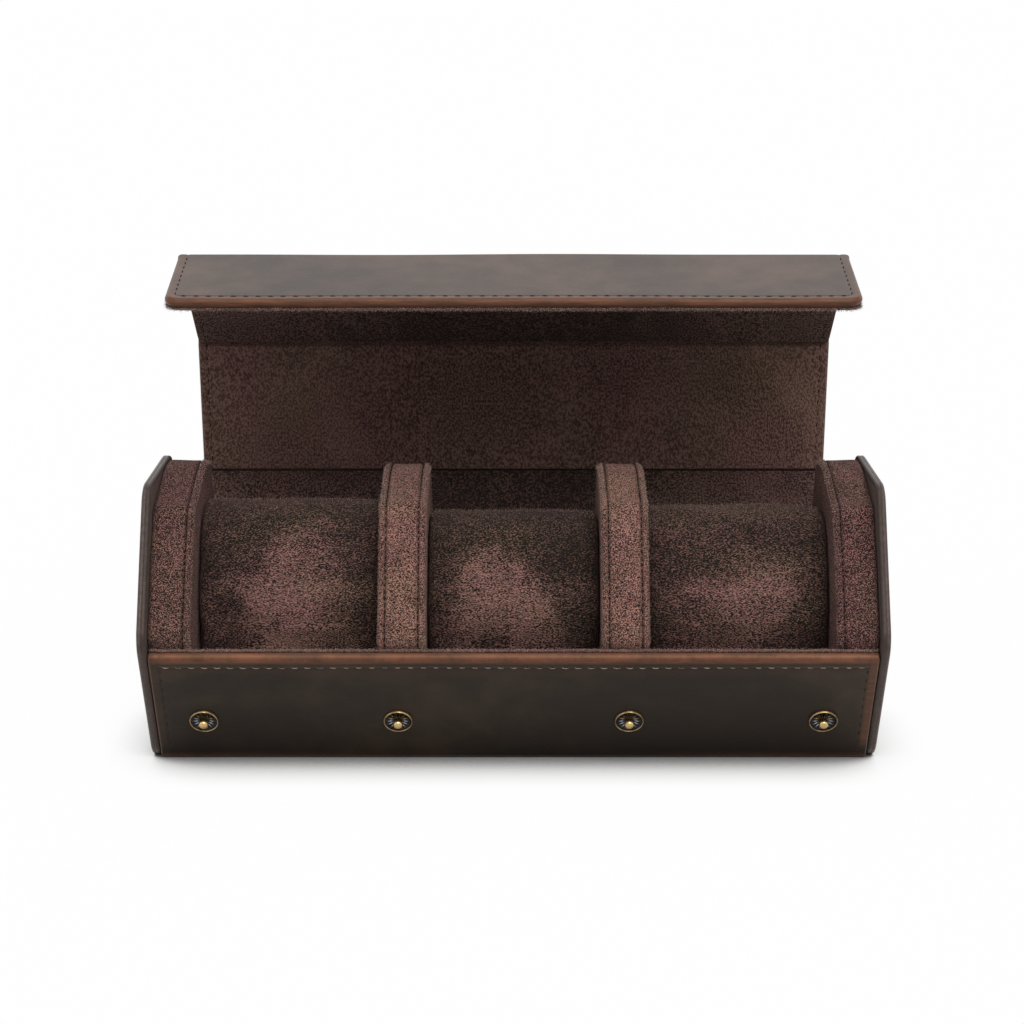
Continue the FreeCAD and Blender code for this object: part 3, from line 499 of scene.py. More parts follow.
def make_suede(name, deep, brushed, nap, contrast=1.0, lay=PILE_LAY, attribute=None, highlight=None):
    """Suede of two tones: nap is how far its pile stands light, and lay draws the pile out along a way. A
    painted highlight may lie round a middle, as an uneven ball of lighter pile that fades outwards."""
    material, tree, shader = new_material(name)
    place = surface_place(tree, attribute)
    suede = add_node(tree, "ShaderNodeGroup", node_tree=SUEDE_GROUP)
    tree.links.new(stretched(tree, place, lay), suede.inputs["Place"])
    suede.inputs["Contrast"].default_value = contrast
    suede.inputs["Deep"].default_value = deep
    suede.inputs["Brushed"].default_value = brushed
    suede.inputs["Patch"].default_value = nap
    # Painted highlight: a lighter ball of pile round a middle on the pillow's front
    if highlight:
        highlight_nap, highlight_middle = highlight
        flat_middle = tuple(np.array(highlight_middle) * HIGHLIGHT_SHAPE)
        flat_place = stretched(tree, place, HIGHLIGHT_SHAPE)
        reach = add_node(tree, "ShaderNodeVectorMath", {0: flat_place, 1: flat_middle}, operation="DISTANCE")
        uneven = math_node(tree, "SUBTRACT", noise(tree, place, 48, detail=3), 0.5)
        distance = weighted_sum(tree, (reach.outputs["Value"], 1.0), (uneven, HIGHLIGHT_UNEVEN))
        highlighted = remap(tree, distance, HIGHLIGHT_REACH, HIGHLIGHT_CORE)
        tree.links.new(remap(tree, highlighted, 0.0, 1.0, nap, highlight_nap), suede.inputs["Patch"])
        tree.links.new(blend_colours(tree, highlighted, brushed, HIGHLIGHT_LIGHT), suede.inputs["Brushed"])
    if attribute:
        # Darkening kept on the points: painted shade on the lid's lining, and a lighter edge on the base's
        # lining
        darkening = add_node(tree, "ShaderNodeAttribute", attribute_name="rim").outputs["Fac"]
        lowered = math_node(tree, "MULTIPLY_ADD", darkening, -DARKENING_LOSS)
        lowered.node.inputs[2].default_value = nap
        tree.links.new(lowered, suede.inputs["Patch"])
    tree.links.new(suede.outputs["Colour"], shader.inputs["Base Color"])
    shader.inputs["Roughness"].default_value = 0.95
    shader.inputs["Specular IOR Level"].default_value = 0.1
    shader.inputs["Sheen Weight"].default_value = 0.12
    shader.inputs["Sheen Roughness"].default_value = 0.45
    shader.inputs["Sheen Tint"].default_value = NAP_SHEEN
    set_bump(tree, shader, suede.outputs["Height"], 0.6, 0.3 * MM)
    return material


def make_thread(name, dark, light):
    """Waxed thread: a twist of fine light and dark strands."""
    material, tree, shader = new_material(name)
    place = surface_place(tree)
    strands = noise(tree, place, 2600, detail=2)
    tone = noise(tree, place, 120, detail=2)
    share = weighted_sum(
        tree, (remap(tree, strands, 0.35, 0.65), 0.55), (remap(tree, tone, 0.35, 0.65), 0.45)
    )
    tree.links.new(blend_colours(tree, share, dark, light), shader.inputs["Base Color"])
    shader.inputs["Roughness"].default_value = 0.8
    shader.inputs["Specular IOR Level"].default_value = 0.12
    set_bump(tree, shader, strands, 0.5, 0.1 * MM)
    return material


def make_metal(name, clean, dull, smooth, rough, glints=None):
    """Worn metal: clean on most of it, dull and rougher in patches. Raised ribs may carry painted glints, a
    pale colour of their own."""
    material, tree, shader = new_material(name)
    place = surface_place(tree)
    patina = remap(tree, noise(tree, place, 420, detail=4), 0.42, 0.7)
    fine = noise(tree, place, 4200, detail=2)
    colour = blend_colours(tree, patina, clean, dull)
    if glints:
        glint = add_node(tree, "ShaderNodeAttribute", attribute_name="glint")
        colour = blend_colours(tree, glint.outputs["Fac"], colour, glints)
    tree.links.new(colour, shader.inputs["Base Color"])
    worn = remap(tree, patina, 0.0, 1.0, smooth, rough)
    tree.links.new(weighted_sum(tree, (worn, 1.0), (fine, 0.08)), shader.inputs["Roughness"])
    shader.inputs["Metallic"].default_value = 1.0
    set_bump(tree, shader, fine, 0.15, 0.05 * MM)
    return material


def make_board():
    """Grey millboard: pressed fibres with paler flecks."""
    material, tree, shader = new_material("millboard")
    place = surface_place(tree)
    fibres = noise(tree, stretched(tree, place, (900, 260, 900)), 1.0, detail=4)
    flecks = remap(tree, noise(tree, place, 700, detail=2), 0.6, 0.72)
    colour = blend_colours(tree, fibres, (0.2, 0.17, 0.14, 1), (0.34, 0.3, 0.25, 1))
    colour = blend_colours(tree, flecks, colour, (0.5, 0.46, 0.4, 1))
    tree.links.new(colour, shader.inputs["Base Color"])
    shader.inputs["Roughness"].default_value = 0.9
    set_bump(tree, shader, fibres, 0.3, 0.1 * MM)
    return material


hide_leather = make_leather("hide_leather", attribute="hide")
end_leather = make_leather("end_leather", attribute="hide", worn=EDGE_PAINT)
facing_leather = make_leather("facing_leather")
pad_suede = make_suede("pad_suede", SUEDE_DEEP, PAD_LIGHT, PAD_NAP, PAD_CONTRAST)
divider_suede = make_suede("divider_suede", SUEDE_DEEP, SUEDE_LIGHT, DIVIDER_NAP, PAD_CONTRAST)
fibre_suede = make_suede("fibre_suede", FIBRE_DEEP, FIBRE_LIGHT, FIBRE_NAP, FIBRE_CONTRAST)
lid_suede = make_suede("lid_suede", SUEDE_DEEP, LID_LIGHT, LID_NAP, LID_CONTRAST, LID_PILE_LAY, "hide")
pale_thread = make_thread("pale_thread", (0.06, 0.046, 0.038, 1), (0.3, 0.25, 0.205, 1))
dark_thread = make_thread("dark_thread", (0.004, 0.0032, 0.003, 1), (0.014, 0.010, 0.009, 1))
olive_thread = make_thread("olive_thread", (0.009, 0.007, 0.005, 1), (0.05, 0.039, 0.027, 1))
antique_brass = make_metal("antique_brass", (0.37, 0.25, 0.125, 1), (0.13, 0.085, 0.045, 1), 0.24, 0.44)
post_brass = make_metal("post_brass", (0.56, 0.38, 0.17, 1), (0.33, 0.22, 0.1, 1), 0.17, 0.32)
# Black dishes, with painted glints on their ribs
black_nickel = make_metal(
    "black_nickel", (0.022, 0.022, 0.023, 1), (0.008, 0.008, 0.008, 1), 0.1, 0.24,
    glints=(0.62, 0.63, 0.66, 1),
)
spring_steel = make_metal("spring_steel", (0.5, 0.5, 0.5, 1), (0.26, 0.25, 0.24, 1), 0.2, 0.35)
millboard = make_board()


# Strips

Fold = namedtuple("Fold", "axis before after offset zone start")
Stations = namedtuple("Stations", "depth height along angle offset developed")


def stations(fold, along):
    """Places along a strip, by their distance from a fold. The strip's direction turns from the panel
    before to the panel after by a smooth step across the fold's zone."""
    along = np.asarray(along, float)
    share = smooth_step(along / (2 * fold.zone) + 0.5)
    angle = fold.before + (fold.after - fold.before) * share
    same = np.ones_like(along)
    return Stations(
        fold.axis[0] * same, fold.axis[1] * same, along, angle, fold.offset * same, fold.start + along
    )


def joined_stations(*runs):
    """Several runs of stations as one."""
    return Stations(*(np.concatenate(column) for column in zip(*runs)))


def column_of(places):
    """Stations as columns, so that they meet a row of places across the strip."""
    return Stations(*(item[:, None] for item in places))


def lifted(places, across, lift):
    """Points at stations: out along the strip's direction from the fold, and up by the lift above the
    fold's own offset."""
    (run_y, run_z), (up_y, up_z) = turned(places.angle)
    rise = lift - places.offset
    depth = places.depth + places.along * run_y + rise * up_y
    height = places.height + places.along * run_z + rise * up_z
    return np.stack(np.broadcast_arrays(across, depth, height), axis=-1)


def fold_spacing(before, after, fine, tail=None):
    """Distances from a fold, close together near it. A tail gives the last ones instead of even steps."""
    near = np.linspace(-fine, fine, FOLD_STEPS)
    start = np.linspace(-before, -fine, PANEL_STEPS)[:-1]
    end = np.linspace(fine, after, PANEL_STEPS)[1:] if tail is None else tail
    return np.concatenate([start, near, end])


def across_places(half):
    """Places across a strip at each station, crowded towards both edges."""
    band = crowded(EDGE_BAND, EDGE_STEPS)
    middle = np.linspace(-1, 1, MIDDLE_STEPS)[1:-1]
    half = half[:, None]
    left = -(half - band)
    right = (half - band)[:, ::-1]
    return np.concatenate([left, (half - EDGE_BAND) * middle, right], axis=1)


def edge_share(distance, edge):
    """How far a rounded edge has risen at a distance in from it: a quarter circle from 0 to 1."""
    return np.sqrt(1 - (1 - np.clip(distance / edge, 0, 1)) ** 2)


def end_distance(across, along, half, length, radius):
    """Distance in from the outline of a panel with two rounded corners at its free end."""
    side = half - np.abs(across)
    end = length - along
    corner = radius - np.hypot(radius - side, radius - end)
    in_corner = (side < radius) & (end < radius)
    return np.where(in_corner, corner, np.minimum(side, end))


def rounded_half(along, half, length, radius):
    """Half width of that panel: it follows a quarter circle to its free end."""
    reach = np.clip(along - (length - radius), 0, radius)
    return half - radius + np.sqrt(radius ** 2 - reach ** 2)


def sheet_piece(name, across, places, low, high, distance, edge, material, rim):
    """A closed sheet between a low and a high lift on one grid of places. Towards its outline both faces
    run together as a quarter circle does, so the edge is round."""
    share = edge_share(distance, edge)
    middle = (low + high) / 2
    faces_points = []
    flat_places = []
    for lift in (middle + (low - middle) * share, middle + (high - middle) * share):
        faces_points.append(lifted(places, across, lift))
        flat_places.append(np.stack(np.broadcast_arrays(-across, places.developed, lift), axis=-1))
    rows, columns = across.shape
    face = grid_faces(rows, columns)
    numbers = np.arange(rows * columns).reshape(rows, columns)
    border = np.concatenate([numbers[0, :-1], numbers[:-1, -1], numbers[-1, :0:-1], numbers[:0:-1, 0]])
    following = np.roll(border, -1)
    walls = np.stack([border, following, following + rows * columns, border + rows * columns], axis=-1)
    faces = np.concatenate([face, face[:, ::-1] + rows * columns, walls])
    values = {"hide": np.stack(flat_places), "rim": np.stack([rim, rim])[..., None]}
    return make_piece(name, np.stack(faces_points), faces, material, values)


def stitched(distance, inset):
    """How far stitching draws a face in at a distance from the edge, less the puff of the edge beyond it."""
    dip = STITCH_DIP * bell(distance, inset, STITCH_DIP_WIDTH)
    puff = EDGE_PUFF * bell(distance, inset * 0.45, inset * 0.4)
    return dip - puff


# Stitches

def stitch_row(name, middles, runs, ups, thread, length=STITCH_LENGTH):
    """Stitches as short bent rods: each runs along its own direction, bows up and dives at both ends, and
    narrows there. A few rings of points stand at even shares of its length."""
    share = np.linspace(-1, 1, STITCH_RINGS)[None, :, None, None]
    turn = np.linspace(0, 2 * math.pi, STITCH_SIDES, endpoint=False)[None, None, :, None]
    runs = runs / np.linalg.norm(runs, axis=-1, keepdims=True)
    sides = np.cross(runs, ups)
    runs = runs * math.cos(STITCH_SLANT) + sides * math.sin(STITCH_SLANT)
    sides = np.cross(runs, ups)
    radius = THREAD / 2 * np.sqrt(1 - STITCH_TAPER * share ** 2)
    bow = THREAD * (STITCH_STAND - STITCH_DIVE * share ** 2)
    spread = [item[:, None, None, :] for item in (middles, runs, ups, sides)]
    points = spread[0] + spread[1] * share * length / 2
    points = points + spread[2] * (bow + radius * np.sin(turn)) + spread[3] * radius * np.cos(turn)
    points_each = STITCH_RINGS * STITCH_SIDES
    first_ring = np.arange(STITCH_SIDES)
    rod = grid_faces(STITCH_RINGS, STITCH_SIDES, wrap_columns=True)
    ends = np.stack([first_ring[::-1], first_ring + points_each - STITCH_SIDES])
    faces = repeated(rod, len(middles), points_each).tolist()
    faces += repeated(ends, len(middles), points_each).tolist()
    return make_piece(name, points, faces, thread, sharp=80)


def spaced_along(path, pitch):
    """Even steps along a line of points, with the direction at each."""
    steps = np.linalg.norm(np.diff(path, axis=0), axis=1)
    length = np.concatenate([[0], np.cumsum(steps)])
    count = max(int(length[-1] / pitch), 1)
    wanted = (np.arange(count) + 0.5) * length[-1] / count
    middles = np.stack([np.interp(wanted, length, column) for column in path.T], axis=-1)
    ahead = np.stack([np.interp(wanted + pitch / 4, length, column) for column in path.T], axis=-1)
    behind = np.stack([np.interp(wanted - pitch / 4, length, column) for column in path.T], axis=-1)
    return middles, ahead - behind


def strip_stitches(name, fold, path, lift, thread, lined=False):
    """Stitches on a strip along a flat path of places across and along it."""
    middles, runs = spaced_along(path, STITCH_PITCH)
    places = stations(fold, middles[:, 1])
    (run_y, run_z), (up_y, up_z) = turned(places.angle)
    points = lifted(places, middles[:, 0], lift(places.along) + sway(middles[:, 0], places.developed))
    directions = np.stack([runs[:, 0], runs[:, 1] * run_y, runs[:, 1] * run_z], axis=-1)
    ups = np.stack([np.zeros_like(up_y), up_y, up_z], axis=-1) * (1 if lined else -1)
    return stitch_row(name, points, directions, ups, thread)


# Folds of the case

def fold_axis(joint_name):
    """Depth and height of a fold's axis, from its joint."""
    joint = next(item for item in frame["joints"] if item["name"] == joint_name)
    return np.array(joint["pos_m"][1:])


def heading(start, end):
    """Direction from one fold to the next."""
    return math.atan2(end[1] - start[1], end[0] - start[0])


AXES = [fold_axis(name) for name in ("lid_hinge", "top_crease", "front_crease", "flap_crease")]
HEADINGS = [WALL_LEAN] + [heading(start, end) for start, end in zip(AXES, AXES[1:])]
HEADINGS.append(HEADINGS[-1] + FLAP_BEND)
PITCHES = [float(np.linalg.norm(end - start)) for start, end in zip(AXES, AXES[1:])]
HINGE_HALF = FLESH_APOTHEM / SQRT3
STARTS = np.concatenate([[0], np.cumsum(PITCHES)])
BEFORE = [HINGE_HALF, PITCHES[0] / 2, PITCHES[1] / 2, PITCHES[2] / 2]
AFTER = [PITCHES[0] / 2, PITCHES[1] / 2, PITCHES[2] / 2, FLAP_LENGTH]
FOLD_NAMES = ("hinge", "top", "front", "flap")
HINGE_FOLD = 0
FLAP_FOLD = 3
FOLD_LEATHERS = (
    ("lid_hinge_fold", "back_panel_leather"),
    ("top_fold", "top_panel_leather"),
    ("front_fold", "front_panel_leather"),
    ("flap_fold", "flap_leather"),
)
FOLD_LININGS = ("back_panel_lining", "top_panel_lining", "front_panel_lining", "flap_lining")

# Where the lid's leather is rubbed brown, and where its lining is darkened: laid pile and painted shade
CREASE_RUB = 0.25
CREASE_RUB_WIDTH = 1.6 * MM
EDGE_RUB = 0.26
EDGE_RUB_INSET = 2.3 * MM
EDGE_RUB_FADE = 1.2 * MM
FLAP_END_RUB = 0.34
FLAP_END_REACH = 12 * MM
FLAP_END_FADE = 10 * MM
# Reach and fade of the darker middle of the lid's lining, and shares of its painted shade
MIDDLE_REACH = 28 * MM
MIDDLE_FADE = 60 * MM
STRIP_LAID_AND_SHADE = 0.66
STRIP_MIDDLE_SHADE = 0.42
PANEL_MIDDLE_SHADE = 0.2


def lid_fold(index, zone):
    """One fold of the lid, with its axis on the leather's flesh side."""
    return Fold(AXES[index], HEADINGS[index], HEADINGS[index + 1], 0.0, zone, STARTS[index])


def turn_with_fold(piece):
    """Puts the piece's placement into its mesh."""
    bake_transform(piece)


def fold_taper(along):
    """How far a panel has reached its full thickness at a distance from its fold."""
    return smooth_step((np.abs(along) - FOLD_THIN) / (FOLD_TAPER - FOLD_THIN))


def make_lid_leather(index):
    """Leather of one fold and the half panels beside it, or of the whole flap: turned round the boards at
    its edges, thinner at the fold."""
    fold = lid_fold(index, FOLD_ZONE)
    is_flap = index == FLAP_FOLD
    tail = None
    if is_flap:
        straight = np.linspace(2 * FOLD_TAPER, FLAP_LENGTH - EDGE_BAND, FLAP_STEPS)[1:-1]
        tail = np.concatenate([straight, FLAP_LENGTH - crowded(EDGE_BAND, FLAP_EDGE_STEPS)[::-1]])
    along = fold_spacing(BEFORE[index], AFTER[index], 2 * FOLD_TAPER, tail)
    half = np.full_like(along, LID_HALF)
    if index == HINGE_FOLD:
        on_lid = smooth_step((along + HINGE_NARROWS_BELOW) / HINGE_NARROWS_OVER)
        half = half + (WRAP_HALF - LID_HALF) * (1 - on_lid)
    if is_flap:
        half = rounded_half(along, LID_HALF, FLAP_LENGTH, FLAP_ROUND)
    across = across_places(half)
    places = column_of(stations(fold, along))
    distance = half[:, None] - np.abs(across)
    if is_flap:
        distance = end_distance(across, places.along, LID_HALF, FLAP_LENGTH, FLAP_ROUND)
    wave = sway(across, places.developed)
    low = wave - LEATHER + stitched(distance, STITCH_INSET)
    high = wave + BOARD * fold_taper(places.along)
    edge = np.full_like(across, TURNED_EDGE)
    if index == HINGE_FOLD:
        on_wall = smooth_step(-places.along / FOLD_TAPER)
        low = low + HINGE_SCORE * bell(places.along, 0, HINGE_SCORE_WIDTH)
        high = high * (1 - on_wall)
        edge = edge + (CUT_EDGE - TURNED_EDGE) * on_wall
    crease = CREASE_RUB * bell(places.along, 0, CREASE_RUB_WIDTH) * np.ones_like(across)
    band = 1 - smooth_step((distance - EDGE_RUB_INSET) / EDGE_RUB_FADE)
    at_end = 0.0
    if is_flap:
        at_end = smooth_step((places.along - FLAP_LENGTH + FLAP_END_REACH) / FLAP_END_FADE)
    rim = np.maximum(band * (EDGE_RUB + FLAP_END_RUB * at_end), crease)
    name = FOLD_NAMES[index]
    piece = sheet_piece(
        name + "_hide", across, places, low, high, distance, edge, hide_leather, rim
    )
    if is_flap:
        cut_socket_holes(piece, SOCKET_SKIN)
    turn_with_fold(piece)
    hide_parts(*FOLD_LEATHERS[index])


def lining_lift(along):
    """Lift of the lining's napped face, which dips into a groove at each fold."""
    return LINED - GROOVE_DIP * (1 - smooth_step(np.abs(along) / GROOVE))


def laid_pile_and_shade(index, across, along):
    """How far the lining is darkened: most on the back and front panels, where the pile lies down and a
    painted shade stands for the shade near the folds, less on the top panel and flap, and more along the
    middle of the lid than near its sides, a painted shade."""
    after = smooth_step(along / MM + 0.5)
    on_strip = (after, 1 - after, after, 1 - after)[index]
    middle = 1 - smooth_step((np.abs(across) - MIDDLE_REACH) / MIDDLE_FADE)
    strip = STRIP_LAID_AND_SHADE + STRIP_MIDDLE_SHADE * middle
    return on_strip * strip + (1 - on_strip) * PANEL_MIDDLE_SHADE * middle


def make_lid_lining(index):
    """Suede of one fold and the half panels beside it, or of the whole flap."""
    fold = lid_fold(index, GROOVE)
    is_flap = index == FLAP_FOLD
    length = FLAP_LENGTH - SUEDE_INSET
    radius = FLAP_ROUND - SUEDE_INSET
    tail = None
    if is_flap:
        straight = np.linspace(2 * FOLD_TAPER, length - EDGE_BAND, FLAP_STEPS)[1:-1]
        tail = np.concatenate([straight, length - crowded(EDGE_BAND, FLAP_LINING_STEPS)[::-1]])
    along = fold_spacing(BEFORE[index], AFTER[index], 2 * FOLD_TAPER, tail)
    half = np.full_like(along, LID_HALF - SUEDE_INSET)
    if is_flap:
        half = rounded_half(along, LID_HALF - SUEDE_INSET, length, radius)
    across = across_places(half)
    places = column_of(stations(fold, along))
    distance = half[:, None] - np.abs(across)
    if is_flap:
        distance = end_distance(across, places.along, LID_HALF - SUEDE_INSET, length, radius)
    high = lining_lift(places.along) + sway(across, places.developed)
    low = high - LINING
    high = high - stitched(distance, STITCH_INSET - SUEDE_INSET)
    piece = sheet_piece(
        FOLD_NAMES[index] + "_suede", across, places, low, high, distance, SUEDE_EDGE,
        lid_suede, laid_pile_and_shade(index, across, places.along),
    )
    if is_flap:
        cut_socket_holes(piece, -LINED)
    turn_with_fold(piece)
    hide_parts(FOLD_LININGS[index])


def cut_socket_holes(piece, floor):
    """Takes the snap sockets' round bodies out of a layer of the flap, from a lift upwards."""
    centres = station_centres("snap_sockets")
    (run_y, run_z), (up_y, up_z) = turned(HEADINGS[-1])
    run = np.array([0, run_y, run_z])
    up = np.array([0, up_y, up_z])
    centre_lift = (centres[0] - np.array([0, *AXES[FLAP_FOLD]])) @ up
    turn = np.linspace(0, 2 * math.pi, HOLE_STEPS, endpoint=False)[:, None]
    circle = SOCKET_HOLE * (np.cos(turn) * np.array([1, 0, 0]) + np.sin(turn) * run)
    rings = [centres[:, None, :] + circle + (lift - centre_lift) * up for lift in (floor, 3 * LINED)]
    points = np.stack(rings, axis=1)
    ring = np.arange(HOLE_STEPS)
    wall = grid_faces(2, HOLE_STEPS, wrap_columns=True)
    caps = np.stack([ring[::-1], ring + HOLE_STEPS])
    faces = repeated(wall, len(centres), 2 * HOLE_STEPS).tolist()
    faces += repeated(caps, len(centres), 2 * HOLE_STEPS).tolist()
    cutter = make_piece("socket_cutter", points, faces, millboard)
    modifier = piece.modifiers.new("holes", "BOOLEAN")
    modifier.object = cutter
    modifier.operation = "DIFFERENCE"
    apply_modifiers(piece)
    bpy.data.objects.remove(cutter)


SOLID_GAP = 5 * MM


def station_centres(node):
    """Middles of the separate solids of a node, found by the gaps between them along X."""
    points = np.array([vertex.co for vertex in frame["nodes"][node].data.vertices])
    points = points[np.argsort(points[:, 0])]
    breaks = np.flatnonzero(np.diff(points[:, 0]) > SOLID_GAP) + 1
    groups = np.split(points, breaks)
    return np.array([(group.min(axis=0) + group.max(axis=0)) / 2 for group in groups])


def outline_path(half, length, radius, start):
    """Flat path along one side of the flap, round its free end and back along the other side."""
    turn = np.linspace(0, math.pi / 2, ROUND_STEPS)
    corner_across = half - radius + radius * np.cos(turn)
    corner_along = length - radius + radius * np.sin(turn)
    right = np.stack([corner_across, corner_along], axis=-1)
    left = right[::-1] * np.array([-1, 1])
    return np.concatenate([[[half, start]], right, left, [[-half, start]]])


def hide_lift(along):
    """Lift of the leather's face where stitches draw it in."""
    return STITCH_DIP - LEATHER + 0 * along


def lined_lift(along):
    """Lift of the lining's face where stitches draw it in."""
    return lining_lift(along) - LINED_DIP


def make_lid_stitching(index):
    """Thread near the edges of a fold's panels, on the leather and on the lining."""
    fold = lid_fold(index, FOLD_ZONE)
    lining_fold = lid_fold(index, GROOVE)
    reach = LID_HALF - STITCH_INSET
    before = -BEFORE[index]
    if index == FLAP_FOLD:
        paths = [outline_path(reach, FLAP_LENGTH - STITCH_INSET, FLAP_STITCH_ROUND, FOLD_STITCH_GAP)]
        paths += [np.array([[side * reach, before], [side * reach, -FOLD_STITCH_GAP]]) for side in (-1, 1)]
    else:
        first = FOLD_STITCH_GAP if index == HINGE_FOLD else before
        paths = [np.array([[side * reach, first], [side * reach, AFTER[index]]]) for side in (-1, 1)]
    for number, path in enumerate(paths):
        label = "%s_stitches_%d" % (FOLD_NAMES[index], number)
        outer = strip_stitches(label, fold, path, hide_lift, dark_thread)
        turn_with_fold(outer)
        inner = strip_stitches(label + "_lined", lining_fold, path, lined_lift, dark_thread, lined=True)
        turn_with_fold(inner)


# Base

def front_wall_place(apothem, up):
    """Depth and height of a point of the front wall: a distance out from the middle, and one up the wall."""
    return np.array([
        -apothem * math.sin(WALL_LEAN) - up * math.cos(WALL_LEAN),
        APOTHEM - apothem * math.cos(WALL_LEAN) + up * math.sin(WALL_LEAN),
    ])


WALL_OUT = np.array([0, -math.sin(WALL_LEAN), -math.cos(WALL_LEAN)])
WALL_UP = np.array([0, -math.cos(WALL_LEAN), math.sin(WALL_LEAN)])
LINING_RIM = APOTHEM / SQRT3 - (LEATHER + LINED + RIM_ROOM) / math.sin(WALL_LEAN)
LEATHER_RIM = LINING_RIM - LINING_PEEK
SUEDE_RIM = LEATHER_RIM + SUEDE_PEEK
CORNER_APOTHEM = APOTHEM - WRAP_CORNER
RIM_UP = LEATHER_RIM - RIM_RADIUS
WALL_RUN = RIM_UP + CORNER_APOTHEM / SQRT3
FLOOR_RUN = 2 * CORNER_APOTHEM / SQRT3
HIDE_START = -(HINGE_HALF + CORNER_APOTHEM / SQRT3 + FLOOR_RUN + WALL_RUN)
RIM_FOLD = Fold(
    front_wall_place(APOTHEM - RIM_RADIUS, RIM_UP), math.radians(-240), -WALL_LEAN,
    RIM_RADIUS - LEATHER, CORNER_ZONE, HIDE_START,
)
RIM_TURN_IN = (-1.4 * MM, -0.8 * MM)
ROLL_STEPS = 21
RIM_STEPS = 60
WALL_STEPS = 24
FLOOR_STEPS = 16
FRONT_SWAY = 0.7
SWAY_FADE = 10 * MM
FOOT_CLEAR = 8 * MM
FOOT_FADE = 6 * MM
STITCH_END = 1 * MM

# Where the base's leather is rubbed brown, with a painted highlight on the top of its rolled rim
ROLL_RUB = 0.86
ROLL_HIGHLIGHT_DROP = 0.24
ROLL_RUB_START = 0.2 * MM
BELOW_ROLL_LOSS = 0.93
BELOW_ROLL_FADE = 1.7 * MM
ROLL_RUB_END = 5 * MM
ROLL_RUB_END_FADE = 4 * MM
CUT_RUB = 0.7
CUT_RUB_INSET = 0.2 * MM
CUT_RUB_FADE = 0.7 * MM
# Share of the band along the cut sides: larger on the right than on the left
LEFT_SIDE_TONE = 0.06
RIGHT_SIDE_TONE = 0.4
SIDE_RUB_INSET = 2.2 * MM
SIDE_RUB_FADE = 1.6 * MM
FOOT_RUB = 0.3
FOOT_RUB_WIDTH = 0.9 * MM

# Lining of the base
BASE_LINING_INSET = 0.2 * MM
LINING_ROLL_STEPS = 13
LINING_EDGE_STEPS = 14
LINING_WALL_STEPS = 16
LINING_FLOOR_STEPS = 14
RAGGED = 0.25 * MM
RAGGED_REACH = 1 * MM
RAGGED_FINE = 2100
RAGGED_COARSE = 630
# Share and width of the lighter band along the upper edge of the base's lining
EDGE_DARKENING = -0.2
EDGE_DARKENING_WIDTH = 3 * MM


def bottom_folds(apothem, offset, start, run):
    """The two corners of the underside, as folds about the middles of their rounding."""
    height = APOTHEM - apothem
    depth = apothem / SQRT3
    front = Fold((-depth, height), -WALL_LEAN, 0.0, offset, CORNER_ZONE, start)
    back = Fold((depth, height), 0.0, WALL_LEAN, offset, CORNER_ZONE, start + run)
    return front, back


def corner_run(before, after, close, before_steps, after_steps):
    """Distances from a corner of a strip: even steps up to it, close ones round it, even ones on from it."""
    near = np.linspace(-CORNER_ZONE, CORNER_ZONE, close)
    up_to = np.linspace(-before, -CORNER_ZONE, before_steps)[1:-1]
    on_from = np.linspace(CORNER_ZONE, after, after_steps)[1:]
    return np.concatenate([up_to, near, on_from])


def base_rub(across, distance, past_rim, on_front):
    """How far the base's leather is rubbed: most on the rolled rim, where a painted highlight makes it
    lightest on the roll's top and less where the roll turns down, fading below it, then along the cut sides,
    more on the right than on the left, and, towards the ends, along the front foot."""
    # Painted highlight: the rub is highest on the roll's top, which faces the light, and drops as the roll
    # turns down the wall
    rolled_wear_and_highlight = ROLL_RUB - ROLL_HIGHLIGHT_DROP * smooth_step(past_rim / CORNER_ZONE)
    rolled_wear_and_highlight = rolled_wear_and_highlight * (1 - BELOW_ROLL_LOSS * smooth_step((past_rim - ROLL_RUB_START) / BELOW_ROLL_FADE))
    rolled_wear_and_highlight = rolled_wear_and_highlight * smooth_step((past_rim + ROLL_RUB_START) / ROLL_RUB_START)
    rolled_wear_and_highlight = rolled_wear_and_highlight * (1 - smooth_step((past_rim - ROLL_RUB_END) / ROLL_RUB_END_FADE))
    cut = CUT_RUB * (1 - smooth_step((distance - CUT_RUB_INSET) / CUT_RUB_FADE))
    side_tone = np.where(across < 0, LEFT_SIDE_TONE, RIGHT_SIDE_TONE)
    band = side_tone * (1 - smooth_step((distance - SIDE_RUB_INSET) / SIDE_RUB_FADE))
    foot = FOOT_RUB * bell(past_rim, WALL_RUN, FOOT_RUB_WIDTH) * smooth_step(np.abs(across) / WRAP_HALF)
    return np.maximum(np.maximum(cut, band) * on_front, np.maximum(rolled_wear_and_highlight, foot))


